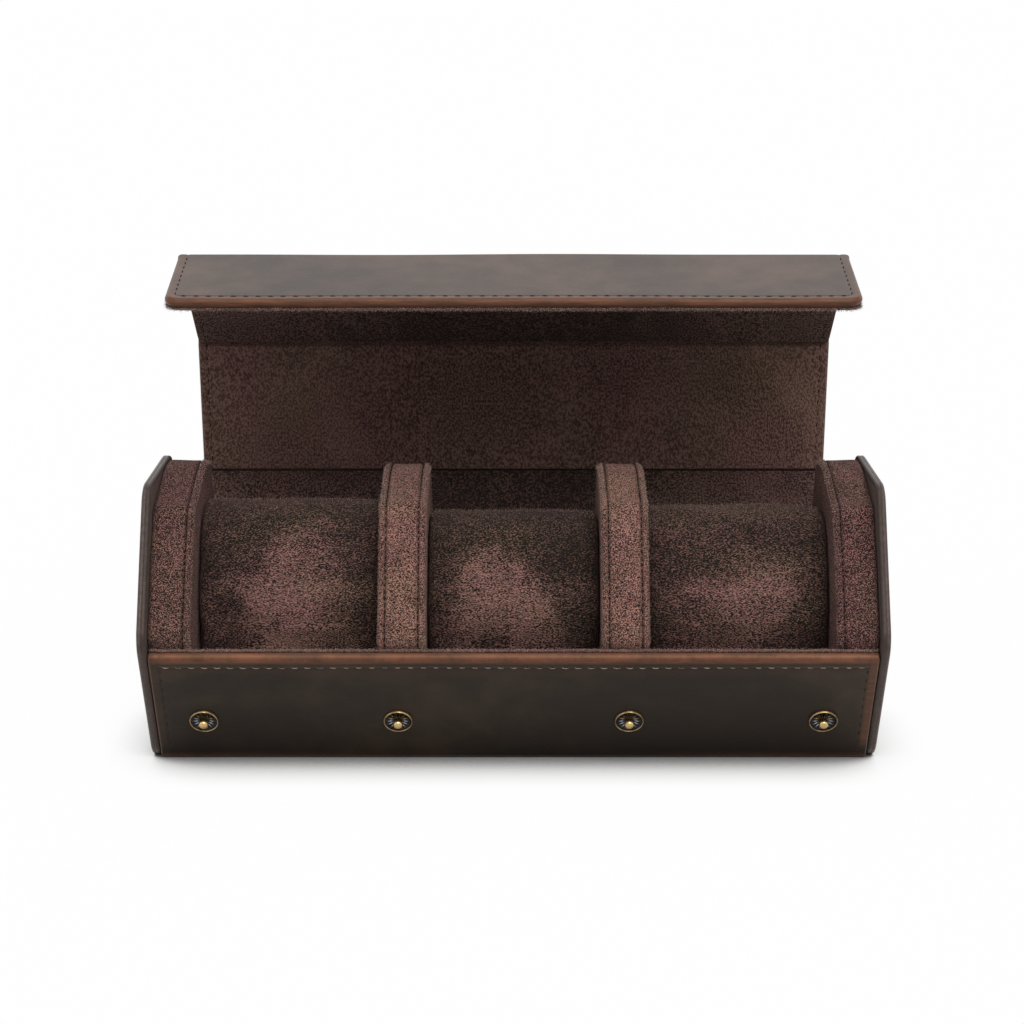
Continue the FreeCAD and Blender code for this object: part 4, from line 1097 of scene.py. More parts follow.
def make_base_hide():
    """One strip of leather: turned over the front rim, down the front wall, under the case and half way up
    the back wall, where the hinge's own strip takes it on."""
    front, back = bottom_folds(CORNER_APOTHEM, WRAP_CORNER - LEATHER, HIDE_START + WALL_RUN, FLOOR_RUN)
    roll = np.linspace(-CORNER_ZONE, CORNER_ZONE, ROLL_STEPS)
    rim_run = np.concatenate([RIM_TURN_IN, roll, np.linspace(CORNER_ZONE, WALL_RUN / 2, RIM_STEPS)[1:]])
    front_run = corner_run(WALL_RUN / 2, FLOOR_RUN / 2, ROLL_STEPS, WALL_STEPS, FLOOR_STEPS)
    back_run = corner_run(FLOOR_RUN / 2, CORNER_APOTHEM / SQRT3, ROLL_STEPS, FLOOR_STEPS, WALL_STEPS)
    places = joined_stations(
        stations(RIM_FOLD, rim_run), stations(front, front_run), stations(back, back_run)
    )
    half = np.full_like(places.along, WRAP_HALF)
    across = across_places(half)
    places = column_of(places)
    distance = half[:, None] - np.abs(across)
    past_rim = places.developed - HIDE_START
    on_front = 1 - smooth_step((past_rim - WALL_RUN + FOOT_CLEAR) / FOOT_FADE)
    rim_stitch = RIM_STITCH_INSET - RIM_RADIUS
    side_stitch = WRAP_HALF - STITCH_INSET
    on_rim = bell(np.abs(past_rim), rim_stitch, STITCH_DIP_WIDTH)
    sewn = smooth_step((side_stitch + STITCH_END - np.abs(across)) / STITCH_END)
    low = -LEATHER + stitched(distance, STITCH_INSET) * on_front + STITCH_DIP * on_rim * sewn
    on_wall = smooth_step(np.abs(past_rim) / SWAY_FADE) * on_front
    wave = FRONT_SWAY * sway(across, places.developed) * on_wall
    rim = base_rub(across, distance, past_rim, on_front)
    piece = sheet_piece(
        "base_hide", across, places, low + wave, wave + 0 * across, distance, CUT_EDGE,
        hide_leather, rim,
    )
    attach(piece, "base")
    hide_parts("base_leather")
    rows = [("rim_stitches", [[-side_stitch, rim_stitch], [side_stitch, rim_stitch]], pale_thread)]
    for label, side in (("left", -1), ("right", 1)):
        line = [[side * side_stitch, rim_stitch], [side * side_stitch, SIDE_STITCH_REACH]]
        rows.append((label + "_wall_stitches", line, olive_thread))
    for label, path, thread in rows:
        row = strip_stitches(label, RIM_FOLD, np.array(path), hide_lift, thread)
        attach(row, "base")


def make_base_suede():
    """Suede of the front wall, floor and back wall. Its ragged upper edge stands just above the leather's
    rim."""
    apothem = FLESH_APOTHEM - LINED - LINING_CORNER
    corner = apothem / SQRT3
    wall = SUEDE_RIM + corner
    start = HIDE_START + WALL_RUN
    front, back = bottom_folds(apothem, LINED + LINING_CORNER, start, 2 * corner)
    upper = crowded(EDGE_BAND, LINING_EDGE_STEPS) - wall
    on_wall = corner_run(wall - EDGE_BAND, corner, LINING_ROLL_STEPS, LINING_WALL_STEPS, LINING_FLOOR_STEPS)
    back_run = corner_run(corner, corner, LINING_ROLL_STEPS, LINING_FLOOR_STEPS, LINING_WALL_STEPS)
    front_run = np.concatenate([upper, on_wall])
    places = joined_stations(stations(front, front_run), stations(back, back_run))
    half = np.full_like(places.along, WRAP_HALF - BASE_LINING_INSET)
    across = across_places(half)
    places = column_of(places)
    from_edge = places.developed - places.developed[0]
    distance = np.minimum(half[:, None] - np.abs(across), from_edge)
    ragged = np.sin(across * RAGGED_FINE + 2 * np.sin(across * RAGGED_COARSE))
    ragged = RAGGED * ragged * bell(from_edge, 0, RAGGED_REACH)
    low = BOARD + 0 * across
    # The lining is made lighter within a few millimetres of its upper edge
    darkening = EDGE_DARKENING * bell(from_edge, 0, EDGE_DARKENING_WIDTH) * np.ones_like(across)
    piece = sheet_piece(
        "base_suede", across, places, low, low + LINING + ragged, distance, SUEDE_EDGE,
        lid_suede, darkening,
    )
    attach(piece, "base")
    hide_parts("base_lining")


for fold_index in range(4):
    make_lid_leather(fold_index)
    make_lid_lining(fold_index)
    make_lid_stitching(fold_index)
make_base_hide()
make_base_suede()


# Loose fibres of the suede's cut edges

FIBRE_WIDTH = 0.1 * MM
FIBRE_ROOT = 0.1 * MM
FIBRE_STRAY = 0.55
FIBRE_LEAST_RISE = 0.01
FIBRE_SHORT_POWER = 2.2
EDGE_FIBRES = 4500
EDGE_FIBRE_LENGTHS = (0.3 * MM, 0.95 * MM)
EDGE_FIBRES_ABOVE = -8 * MM
RIM_FIBRES = 9000
RIM_FIBRE_LENGTHS = (0.3 * MM, 1.2 * MM)
RIM_FIBRE_INSET = 0.4 * MM
RIM_FIBRE_ROOT = 0.3 * MM
FLAP_FIBRES = 11000
FLAP_FIBRE_LENGTHS = (0.5 * MM, 1.7 * MM)
FLAP_FIBRE_START = 3 * MM
FLAP_FIBRE_LEAN = 0.5
FLAP_FIBRE_ROOM = 0.6 * MM
PILLOW_FIBRES = 3500
PILLOW_FIBRE_LENGTHS = (0.3 * MM, 0.9 * MM)
PILLOW_FIBRE_SCATTER = 1 * MM
PILLOW_FIBRE_SLOPE = 0.75


def make_fibres(name, roots, leans, lengths, up=None, room=None):
    """Loose fibres: each a three-sided spike from its root to a tip along its own lean. Where something
    closes over them they end within the room above their roots."""
    leans = leans + FIBRE_STRAY * random.normal(size=leans.shape)
    leans = leans / np.linalg.norm(leans, axis=1, keepdims=True)
    if up is not None:
        rise = np.maximum((leans * up).sum(axis=1), FIBRE_LEAST_RISE)
        lengths = np.minimum(lengths, room / rise)
    aside = np.cross(leans, random.normal(size=leans.shape))
    aside = aside / np.linalg.norm(aside, axis=1, keepdims=True)
    across = np.cross(leans, aside)
    turn = np.linspace(0, 2 * math.pi, 3, endpoint=False)[None, :, None]
    around = np.cos(turn) * aside[:, None] + np.sin(turn) * across[:, None]
    ring = roots[:, None] + FIBRE_WIDTH / 2 * around
    tips = roots + leans * lengths[:, None]
    points = np.concatenate([ring, tips[:, None]], axis=1)
    spike = np.array([[0, 1, 3], [1, 2, 3], [2, 0, 3], [2, 1, 0]])
    return make_piece(name, points, repeated(spike, len(roots), 4), fibre_suede, sharp=180)


def fibre_lengths(count, shortest, longest):
    """Random lengths, most of them short."""
    return shortest + (longest - shortest) * random.random(count) ** FIBRE_SHORT_POWER


# End panels, pads and dividers

def rounded_hexagon(side, radius, per_side, per_corner):
    """Outline of a hexagon standing on a flat, with rounded corners: points and outward normals, as depth
    and height. Each corner is an arc of a sixth of a turn, joined to the next by a straight side."""
    corner = np.radians(60) * np.arange(6)[:, None]
    turn = corner + np.radians(30) * np.linspace(-1, 1, per_corner)
    middle = (side - radius * 2 / SQRT3) * np.stack([np.cos(corner), np.sin(corner)], axis=-1)
    arc_normals = np.stack([np.cos(turn), np.sin(turn)], axis=-1)
    arcs = middle + radius * arc_normals
    share = np.linspace(0, 1, per_side + 2)[1:-1][None, :, None]
    following = np.roll(arcs, -1, axis=0)
    sides = arcs[:, -1:] * (1 - share) + following[:, :1] * share
    side_normals = np.broadcast_to(arc_normals[:, -1:], sides.shape)
    points = np.concatenate([arcs, sides], axis=1).reshape(-1, 2)
    normals = np.concatenate([arc_normals, side_normals], axis=1).reshape(-1, 2)
    return points, normals


def hexagon_rings(points, normals, insets, shares, across):
    """Rings of a hexagonal plate: the outline drawn in square to itself by an inset, then scaled towards
    the middle by a share, at a place across the case."""
    drawn = points[None] - insets[..., None] * normals[None]
    drawn = drawn * shares[:, None, None]
    across = np.broadcast_to(across, drawn.shape[:2])
    return np.stack([across, drawn[..., 0], drawn[..., 1] + APOTHEM], axis=-1)


def profile_arrays(profile):
    """Columns of a listed profile: inset, share towards the middle, place across."""
    columns = np.array(profile, float).T
    return columns[0][:, None], columns[1], columns[2][:, None]


HEXAGON_CORNER_STEPS = 9
END_SIDE_STEPS = 22
END_CORNER = 10 * MM
FACING = 0.85 * MM
END_STITCH_INSET = 3.6 * MM
END_STITCH_SINK = 0.85

# Profile of an end panel: shares of its flat face, steps from the stitch line with shares of the dip, insets
# with depths below the outer face, insets with heights above the inner face, shares of the facing's seat
END_FACE_INSET = 9.4 * MM
END_FACE = (0, 0.25, 0.5, 0.75, 0.92, 1)
END_GROOVE = (
    (1.6 * MM, 0.0), (0.8 * MM, 0.1), (0.4 * MM, 0.55), (0.0, END_STITCH_SINK), (-0.4 * MM, 0.55),
    (-0.9 * MM, 0.05),
)
END_EDGE = MM * np.array([
    (1.7, 0.0), (0.9, 0.06), (0.45, 0.2), (0.15, 0.5), (0.0, 0.9), (0.02, 1.2), (0.13, 1.42), (0.15, 1.5),
    (0.04, 1.66), (0.0, 2.1),
])
END_LIP = MM * np.array([(0.1, 0.4), (0.32, 0.12), (0.7, 0.0), (1.0, 0.05), (1.22, 0.3)])
END_SEAT_INSET = 1.25 * MM
END_SEAT = (1, 0.6, 0.2, 0)

# Painted edge of an end panel, and where its hide is cut from
END_PAINT_BELOW = 0.03 * MM
END_PAINT_INSET = 0.9 * MM
END_LAYER = 1.3 * MM
END_LAYER_FADE = 0.3 * MM
END_LAYER_LOSS = 0.55
END_HIDE_PLACE = 1.7


def make_end_panel(side_name, side):
    """Leather cup of one end: a flat outer face, a rounded edge with the line where two layers meet, and a
    lip round the inner facing. The profile is carried round the hexagon."""
    points, normals = rounded_hexagon(APOTHEM * 2 / SQRT3, END_CORNER, END_SIDE_STEPS, HEXAGON_CORNER_STEPS)
    outer = END_HIGH.x
    inner = END_LOW.x
    profile = [(END_FACE_INSET, share, outer) for share in END_FACE]
    profile += [(END_STITCH_INSET + step, 1, outer - STITCH_DIP * drop) for step, drop in END_GROOVE]
    profile += [(inset, 1, outer - depth) for inset, depth in END_EDGE]
    profile += [(inset, 1, inner + height) for inset, height in END_LIP]
    profile += [(END_SEAT_INSET, share, inner + FACING) for share in END_SEAT]
    insets, shares, across = profile_arrays(profile)
    rings = hexagon_rings(points, normals, insets, shares, across * side)
    painted = (np.abs(across) < outer - END_PAINT_BELOW) & (insets < END_PAINT_INSET)
    inner_layer = smooth_step((outer - END_LAYER - np.abs(across)) / END_LAYER_FADE)
    rim = np.where(painted, 1.0 - END_LAYER_LOSS * inner_layer, 0.0) * np.ones(len(points))
    flat = np.stack([rings[..., 1], rings[..., 2] + END_HIDE_PLACE, np.abs(rings[..., 0])], axis=-1)
    faces = grid_faces(*rings.shape[:2], wrap_columns=True)
    values = {"hide": flat, "rim": rim[..., None]}
    piece = make_piece(side_name + "_end_panel", rings, faces, end_leather, values)
    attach(piece, "base")
    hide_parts(side_name + "_end_leather")
    path = points - END_STITCH_INSET * normals
    path = np.concatenate([path, path[:1]])
    middles, runs = spaced_along(path, STITCH_PITCH)
    level = np.full(len(middles), side * (outer - STITCH_DIP * END_STITCH_SINK))
    middles = np.stack([level, middles[:, 0], middles[:, 1] + APOTHEM], axis=-1)
    runs = np.concatenate([np.zeros((len(runs), 1)), runs], axis=1)
    ups = np.broadcast_to(np.array([side, 0.0, 0.0]), middles.shape)
    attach(stitch_row(side_name + "_end_stitches", middles, runs, ups, dark_thread), "base")


PADDED_APOTHEM = (PAD_HIGH.z - PAD_LOW.z) / 2
PADDED_CORNER = 4 * MM
PADDED_EDGE = 1.8 * MM
SEAM_INSET = 2.4 * MM
SQUEEZE = 0.9 * MM
DIVIDER_FACES = (DIVIDER_LOW.x + SQUEEZE, DIVIDER_HIGH.x - SQUEEZE)
SEAM_DEPTH = 0.95 * MM
SEAM_WIDTH = 0.5 * MM
SEAM_THREAD = SEAM_DEPTH - 0.15 * MM
PUCKER = 0.1 * MM
PUCKER_WIDTH = 2.2 * SEAM_WIDTH
SOFT = 0.12 * MM
SOFT_ROUND = 210
SOFT_ACROSS = 330
SOFT_LONG = 83
PADDED_FACE = (0, 0.2, 0.45, 0.7, 0.88, 1.0)
PADDED_EDGE_STEPS = 7
PADDED_RIM_STEPS = 61
PADDED_SIDE_STEPS = 46
PAD_SEAMS = (PAD_LOW.x + SEAM_INSET,)
PAD_CROWNS = (0.2 * MM, 0.0)
PAD_STUFFING = (4.4 * MM, 3.2 * MM, 0.952)
DIVIDER_SEAMS = (DIVIDER_FACES[0] + SEAM_INSET, DIVIDER_FACES[1] - SEAM_INSET)
DIVIDER_CROWNS = (0.0, 0.0)
DIVIDER_STUFFING = (2.4 * MM, 2.0 * MM, 0.972)

# Where the stuffing lifts a pad's top, as heights above and depths behind the case's middle
STUFFED_ABOVE = 20 * MM
STUFFED_FADE = 20 * MM
SWELL_FROM = -27 * MM
SWELL_RUN = 38 * MM
EASE_FROM = 13 * MM
EASE_RUN = 15 * MM
EASE_SHARE = 0.5


def padded_profile(low, high, seams, crowns):
    """Profile of a padded plate between two places across: crowned faces, rounded edges, and a seam
    channel drawn in at each seam. Insets are worked out from the place across the edge."""
    face = np.array(PADDED_FACE)
    edge_turn = np.linspace(0, math.pi / 2, PADDED_EDGE_STEPS)
    crown = 1 - face ** 2
    edge_across = np.linspace(low + PADDED_EDGE, high - PADDED_EDGE, PADDED_RIM_STEPS)[1:-1]
    across = np.concatenate([
        low - crowns[0] * crown,
        low + PADDED_EDGE * (1 - np.cos(edge_turn)),
        edge_across,
        high - PADDED_EDGE * (1 - np.cos(edge_turn[::-1])),
        (high + crowns[1] * crown)[::-1],
    ])
    round_inset = PADDED_EDGE * (1 - np.sin(edge_turn))
    channel = sum(SEAM_DEPTH * bell(edge_across, seam, SEAM_WIDTH) for seam in seams)
    on_face = np.full(len(face), PADDED_EDGE)
    inset = np.concatenate([on_face, round_inset, channel, round_inset[::-1], on_face])
    plain = np.ones(len(across) - 2 * len(face))
    share = np.concatenate([face, plain, face[::-1]])
    return inset, share, across


def stuffed_rise(depth, height, rise, drop):
    """How far the stuffing lifts the upper part of a pad: it drops at the front corner, stands highest
    behind the middle and eases off to the back."""
    upper = smooth_step((height - STUFFED_ABOVE) / STUFFED_FADE)
    swell = (rise + drop) * smooth_step((depth - SWELL_FROM) / SWELL_RUN) - drop
    return upper * (swell - EASE_SHARE * rise * smooth_step((depth - EASE_FROM) / EASE_RUN))


def press(piece):
    """Attaches the piece to the base and gives it a mesh of its own."""
    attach(piece, "base")
    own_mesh(piece)


def make_padded(name, low, high, seams, crowns, side, stuffing, suede, nodes):
    """Suede cover over foam: the profile is carried round a hexagon, and the seams pucker a little at each
    stitch. stuffing is how far the top rises behind and drops in front, and the share it keeps under the
    closed lid, which is not used."""
    rise, drop, keep = stuffing
    side_length = PADDED_APOTHEM * 2 / SQRT3
    points, normals = rounded_hexagon(side_length, PADDED_CORNER, PADDED_SIDE_STEPS, HEXAGON_CORNER_STEPS)
    inset, share, across = padded_profile(low, high, seams, crowns)
    steps = np.linalg.norm(np.diff(points, axis=0, append=points[:1]), axis=1)
    travelled = np.cumsum(steps) - steps
    near_seam = sum(bell(across, seam, PUCKER_WIDTH) for seam in seams)[:, None]
    pucker = PUCKER * np.sin(2 * math.pi * travelled / SEAM_PITCH)[None] * near_seam
    soft = SOFT * np.sin(travelled * SOFT_ROUND + across[:, None] * SOFT_ACROSS)
    soft = soft * np.sin(travelled * SOFT_LONG)[None]
    insets = inset[:, None] + (pucker + soft) * share[:, None]
    rings = hexagon_rings(points, normals, insets, share, across[:, None] * side)
    rings[..., 2] += stuffed_rise(rings[..., 1], rings[..., 2] - APOTHEM, rise, drop)
    piece = make_piece(name, rings, grid_faces(*rings.shape[:2], wrap_columns=True), suede)
    press(piece)
    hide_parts(*nodes)
    path = points - SEAM_THREAD * normals
    path[:, 1] += stuffed_rise(path[:, 0], path[:, 1], rise, drop)
    path = np.concatenate([path, path[:1]])
    middles, runs = spaced_along(path, SEAM_PITCH)
    outward = middles / np.linalg.norm(middles, axis=1, keepdims=True)
    for number, seam in enumerate(seams):
        level = np.full(len(middles), side * seam)
        spots = np.stack([level, middles[:, 0], middles[:, 1] + APOTHEM], axis=-1)
        directions = np.concatenate([np.zeros((len(runs), 1)), runs], axis=1)
        ups = np.concatenate([np.zeros((len(runs), 1)), outward], axis=1)
        row = stitch_row("%s_seam_%d" % (name, number), spots, directions, ups, dark_thread, SEAM_STITCH)
        press(row)
    edges = [(low, -1)] if len(seams) == 1 else [(low, -1), (high, 1)]
    for edge, facing in edges:
        fibres = edge_fibres(name, points, normals, edge, facing, side, rise, drop)
        press(fibres)


def edge_fibres(name, points, normals, edge, facing, side, rise, drop):
    """Fibres that stand off one edge of a padded plate, fanned between its face and its rim, along the
    part of its outline above the middle."""
    upper = np.flatnonzero(points[:, 1] > EDGE_FIBRES_ABOVE)
    spot = random.choice(upper, EDGE_FIBRES)
    following = (spot + 1) % len(points)
    share = random.random((EDGE_FIBRES, 1))
    outline = points[spot] * (1 - share) + points[following] * share
    normal = normals[spot] * (1 - share) + normals[following] * share
    turn = random.uniform(0.1, 1.0, EDGE_FIBRES) * math.pi / 2
    across = edge - facing * PADDED_EDGE * (1 - np.cos(turn))
    root = outline - (PADDED_EDGE * (1 - np.sin(turn)) + FIBRE_ROOT)[:, None] * normal
    height = root[:, 1] + stuffed_rise(root[:, 0], root[:, 1], rise, drop)
    roots = np.stack([across * side, root[:, 0], height + APOTHEM], axis=-1)
    leans = np.stack([facing * side * np.cos(turn), *(np.sin(turn)[:, None] * normal).T], axis=-1)
    label = "%s_%s_fibres" % (name, "inner" if facing < 0 else "outer")
    return make_fibres(label, roots, leans, fibre_lengths(EDGE_FIBRES, *EDGE_FIBRE_LENGTHS))


for end_name, end_side in (("left", -1), ("right", 1)):
    make_end_panel(end_name, end_side)
    make_padded(
        end_name + "_pad", PAD_LOW.x, PAD_HIGH.x, PAD_SEAMS, PAD_CROWNS, end_side, PAD_STUFFING,
        pad_suede, [end_name + "_pad_cover", end_name + "_pad_foam"],
    )
    make_padded(
        end_name + "_divider", *DIVIDER_FACES, DIVIDER_SEAMS, DIVIDER_CROWNS, end_side, DIVIDER_STUFFING,
        divider_suede, [end_name + "_divider_cover", end_name + "_divider_foam"],
    )


def make_rim_fibres():
    """Fibres along the upper edge of the front wall's lining."""
    across = random.uniform(-1, 1, RIM_FIBRES) * (WRAP_HALF - RIM_FIBRE_INSET)
    lift = random.uniform(BOARD, LINED, RIM_FIBRES)
    root = front_wall_place(FLESH_APOTHEM - lift, SUEDE_RIM - RIM_FIBRE_ROOT)
    roots = np.stack([across, root[0], root[1]], axis=-1)
    leans = np.broadcast_to(WALL_UP, roots.shape)
    lengths = fibre_lengths(RIM_FIBRES, *RIM_FIBRE_LENGTHS)
    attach(make_fibres("rim_fibres", roots, leans, lengths), "base")


def make_flap_fibres():
    """Fibres round the flap's lining, pointing out of its edge."""
    path = outline_path(
        LID_HALF - SUEDE_INSET, FLAP_LENGTH - SUEDE_INSET, FLAP_ROUND - SUEDE_INSET, FLAP_FIBRE_START
    )
    middles, runs = spaced_along(path, (2 * LID_HALF + 2 * FLAP_LENGTH) / FLAP_FIBRES)
    runs = runs / np.linalg.norm(runs, axis=1, keepdims=True)
    places = stations(lid_fold(FLAP_FOLD, GROOVE), middles[:, 1])
    (run_y, run_z), (up_y, up_z) = turned(places.angle)
    ups = np.stack([np.zeros_like(up_y), up_y, up_z], axis=-1)
    lift = random.uniform(BOARD, LINED, len(middles))
    roots = lifted(places, middles[:, 0], lift)
    out_along = -runs[:, 0]
    outs = np.stack([runs[:, 1], out_along * run_y, out_along * run_z], axis=-1)
    leans = outs + FLAP_FIBRE_LEAN * ups
    lengths = fibre_lengths(len(roots), *FLAP_FIBRE_LENGTHS)
    piece = make_fibres("flap_fibres", roots, leans, lengths, ups, LINED + FLAP_FIBRE_ROOM - lift)
    turn_with_fold(piece)


make_rim_fibres()
make_flap_fibres()


# Watch pillows

PILLOW_CROWN_SHARE = 0.76
PILLOW_END_DRAW = 0.7 * MM
PILLOW_DRAW_POWER = 8
PILLOW_EDGE = 1.2 * MM
PILLOW_FLAT = 1.5 * MM
PILLOW_SEAT = 0.2 * MM
PILLOW_CAP = (0.9, 0.72, 0.5, 0.25, 0.0)
PILLOW_CAP_FALL = 0.6 * MM
PILLOW_BODY_STEPS = 57
PILLOW_EDGE_STEPS = 8
PILLOW_ARC_STEPS = 28
PILLOW_ROOM_BELOW = (0, 1 * MM, 0)
PILLOW_ROOM_ABOVE = (0, 1 * MM, 4 * MM)

# Soft dents of a pillow: share, waves round it, waves along it, change from pillow to pillow
DENT_DEPTH = 0.6
DENTS = ((0.35, 3, 4, 0), (0.25, 7, -6, 90))

CLOTH_GRID = 2.2 * MM
STUFFING_PRESSURE = 4
SWELL_FRAMES = 20
SWELL_CAP = 2 * MM


def oval(half_height, half_depth, per_arc):
    """Upright ovals of four tangent arcs, one for each half height and depth: a small crown radius at the
    top and foot, a large one at the front and back. Returns depths and heights about the middle."""
    crown = half_depth * PILLOW_CROWN_SHARE
    rise = half_height - crown
    flank = (half_depth ** 2 + rise ** 2 - crown ** 2) / (2 * (half_depth - crown))
    lean = np.arctan2(rise, flank - half_depth)
    share = np.linspace(-1, 1, per_arc, endpoint=False)
    flank_turn = lean[:, None] * share
    crown_turn = math.pi / 2 + (math.pi / 2 - lean)[:, None] * share
    flank_depth = (half_depth - flank)[:, None] + flank[:, None] * np.cos(flank_turn)
    flank_height = flank[:, None] * np.sin(flank_turn)
    crown_depth = crown[:, None] * np.cos(crown_turn)
    crown_height = rise[:, None] + crown[:, None] * np.sin(crown_turn)
    depth = np.concatenate([flank_depth, crown_depth, -flank_depth, -crown_depth], axis=1)
    height = np.concatenate([flank_height, crown_height, -flank_height, -crown_height], axis=1)
    return depth, height


def stuff(piece, low, high):
    """The pillow's cover as cloth: meshed evenly, then swollen by the pressure of its stuffing until it
    settles. No point moves further than a cap, or out of a box that its neighbours leave."""
    even = piece.modifiers.new("even_mesh", "REMESH")
    even.mode = "VOXEL"
    even.voxel_size = CLOTH_GRID
    apply_modifiers(piece)
    slack = mesh_points(piece.data)
    cover = piece.modifiers.new("cover", "CLOTH")
    cover.settings.use_pressure = True
    cover.settings.uniform_pressure_force = STUFFING_PRESSURE
    cover.settings.effector_weights.gravity = 0
    for step in range(1, SWELL_FRAMES + 1):
        bpy.context.scene.frame_set(step)
    apply_modifiers(piece)
    swell = mesh_points(piece.data) - slack
    length = np.linalg.norm(swell, axis=1, keepdims=True)
    swell = swell * np.minimum(1, SWELL_CAP / np.maximum(length, SWELL_CAP / 1000))
    settled = np.clip(slack + swell, low, high)
    piece.data.vertices.foreach_set("co", settled.astype(np.float32).ravel())
    bpy.context.scene.frame_set(1)
    finer = piece.modifiers.new("finer", "SUBSURF")
    finer.levels = finer.render_levels = 1
    apply_modifiers(piece)
    piece.data.shade_smooth()


def pillow_fibres(name, pillow):
    """Fibres that stand off a pillow's top, each rooted at random beside the middle of one of its faces."""
    mesh = pillow.data
    middles = np.empty(3 * len(mesh.polygons), np.float32)
    normals = np.empty(3 * len(mesh.polygons), np.float32)
    mesh.polygons.foreach_get("center", middles)
    mesh.polygons.foreach_get("normal", normals)
    middles = middles.reshape(-1, 3)
    normals = normals.reshape(-1, 3)
    upper = np.flatnonzero(normals[:, 2] > PILLOW_FIBRE_SLOPE)
    spot = random.choice(upper, PILLOW_FIBRES)
    roots = middles[spot] - FIBRE_ROOT * normals[spot]
    roots = roots + random.uniform(-0.5, 0.5, (PILLOW_FIBRES, 3)) * PILLOW_FIBRE_SCATTER
    lengths = fibre_lengths(PILLOW_FIBRES, *PILLOW_FIBRE_LENGTHS)
    fibres = make_fibres(name + "_fibres", roots, normals[spot], lengths)
    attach(fibres, name)


def make_pillow(name, bay, plump, nap, highlight_nap, highlight_shift):
    """Stuffed pillow: ovals that swell to mid-width and are drawn in towards both ends by a steep power of
    the distance, with rounded edges, soft dents, and a flat foot, then stuffed as cloth. It fills its bay.
    plump stretches its upper half, and a painted highlight of lighter pile lies on its front, a little
    aside and up."""
    low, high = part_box(name + "_cover")
    low.x, high.x = bay
    middle = (low + high) / 2
    half_width = (high.x - low.x) / 2
    half_depth = (high.y - low.y) / 2
    half_height = (high.z - low.z + PILLOW_FLAT) / 2
    body = np.linspace(-1, 1, PILLOW_BODY_STEPS) * (half_width - PILLOW_EDGE)
    edge_turn = np.linspace(0, math.pi / 2, PILLOW_EDGE_STEPS)[1:]
    edge_across = half_width - PILLOW_EDGE + PILLOW_EDGE * np.sin(edge_turn)
    edge_inset = PILLOW_EDGE * (1 - np.cos(edge_turn))
    cap = np.array(PILLOW_CAP)
    cap_across = half_width - PILLOW_CAP_FALL * (1 - cap ** 2)
    across = np.concatenate([-cap_across[::-1], -edge_across[::-1], body, edge_across, cap_across])
    on_cap = np.full(len(cap), PILLOW_EDGE)
    extra = np.concatenate([on_cap, edge_inset[::-1], np.zeros(len(body)), edge_inset, on_cap])
    share = np.concatenate([cap[::-1], np.ones(len(body) + 2 * len(edge_turn)), cap])
    reach = np.clip(np.abs(across) / half_width, 0, 1)
    draw = PILLOW_END_DRAW * reach ** PILLOW_DRAW_POWER + extra
    depth, height = oval(half_height - draw, half_depth - draw, PILLOW_ARC_STEPS)
    turn = np.linspace(0, 2 * math.pi, depth.shape[1], endpoint=False)[None]
    span = across[:, None] / half_width
    dents = sum(
        dent * np.sin(waves_round * turn + waves_along * span + middle.x * change)
        for dent, waves_round, waves_along, change in DENTS
    )
    soft = DENT_DEPTH * dents * MM / half_height
    depth = depth * share[:, None] * (1 + soft)
    height = height * share[:, None] * (1 + soft)
    foot = low.z - middle.z
    height = height * np.where(height > 0, plump, 1.0)
    height = np.maximum(height - PILLOW_FLAT / 2, foot)
    places = (across[:, None] + middle.x, depth + middle.y, height + middle.z)
    points = np.stack(np.broadcast_arrays(*places), axis=-1)
    highlight_middle = (middle.x + highlight_shift[0], low.y, middle.z + highlight_shift[1])
    material = make_suede(
        name + "_suede", PILLOW_DEEP, PILLOW_LIGHT, nap, PILLOW_CONTRAST, PILLOW_PILE_LAY,
        highlight=(highlight_nap, highlight_middle),
    )
    piece = make_piece(name, points, grid_faces(*points.shape[:2], wrap_columns=True), material)
    stuff(piece, np.array(low) - PILLOW_ROOM_BELOW, np.array(high) + PILLOW_ROOM_ABOVE)
    pillow_fibres(name, piece)
    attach(piece, name)
    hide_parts(name + "_cover", name + "_foam")


CENTRE_REACH = DIVIDER_FACES[0] - PILLOW_SEAT
SIDE_BAY = (DIVIDER_FACES[1] + PILLOW_SEAT, PAD_LOW.x - 2 * PILLOW_SEAT)
CENTRE_BAY = (-CENTRE_REACH, CENTRE_REACH)
LEFT_BAY = (-SIDE_BAY[1], -SIDE_BAY[0])
# Each pillow carries a painted highlight on its front
make_pillow("left_pillow", LEFT_BAY, 1.03, nap=-0.5, highlight_nap=0.08, highlight_shift=(-2 * MM, 11 * MM))
make_pillow("centre_pillow", CENTRE_BAY, 0.93, nap=-0.57, highlight_nap=0.06, highlight_shift=(-2 * MM, 8 * MM))
make_pillow("right_pillow", SIDE_BAY, 0.975, nap=-0.48, highlight_nap=-0.02, highlight_shift=(0.0, 9 * MM))


# Snap studs

STUD_STEPS = 72
FLUTES = 14
FLUTE_DEPTH = 0.3 * MM
FLUTE_EASE = 0.1 * MM
# Painted glints on the dish's ribs: their radius, width and sharpness
GLINT_RADIUS = 2.5 * MM
GLINT_WIDTH = 0.6 * MM
GLINT_POWER = 4


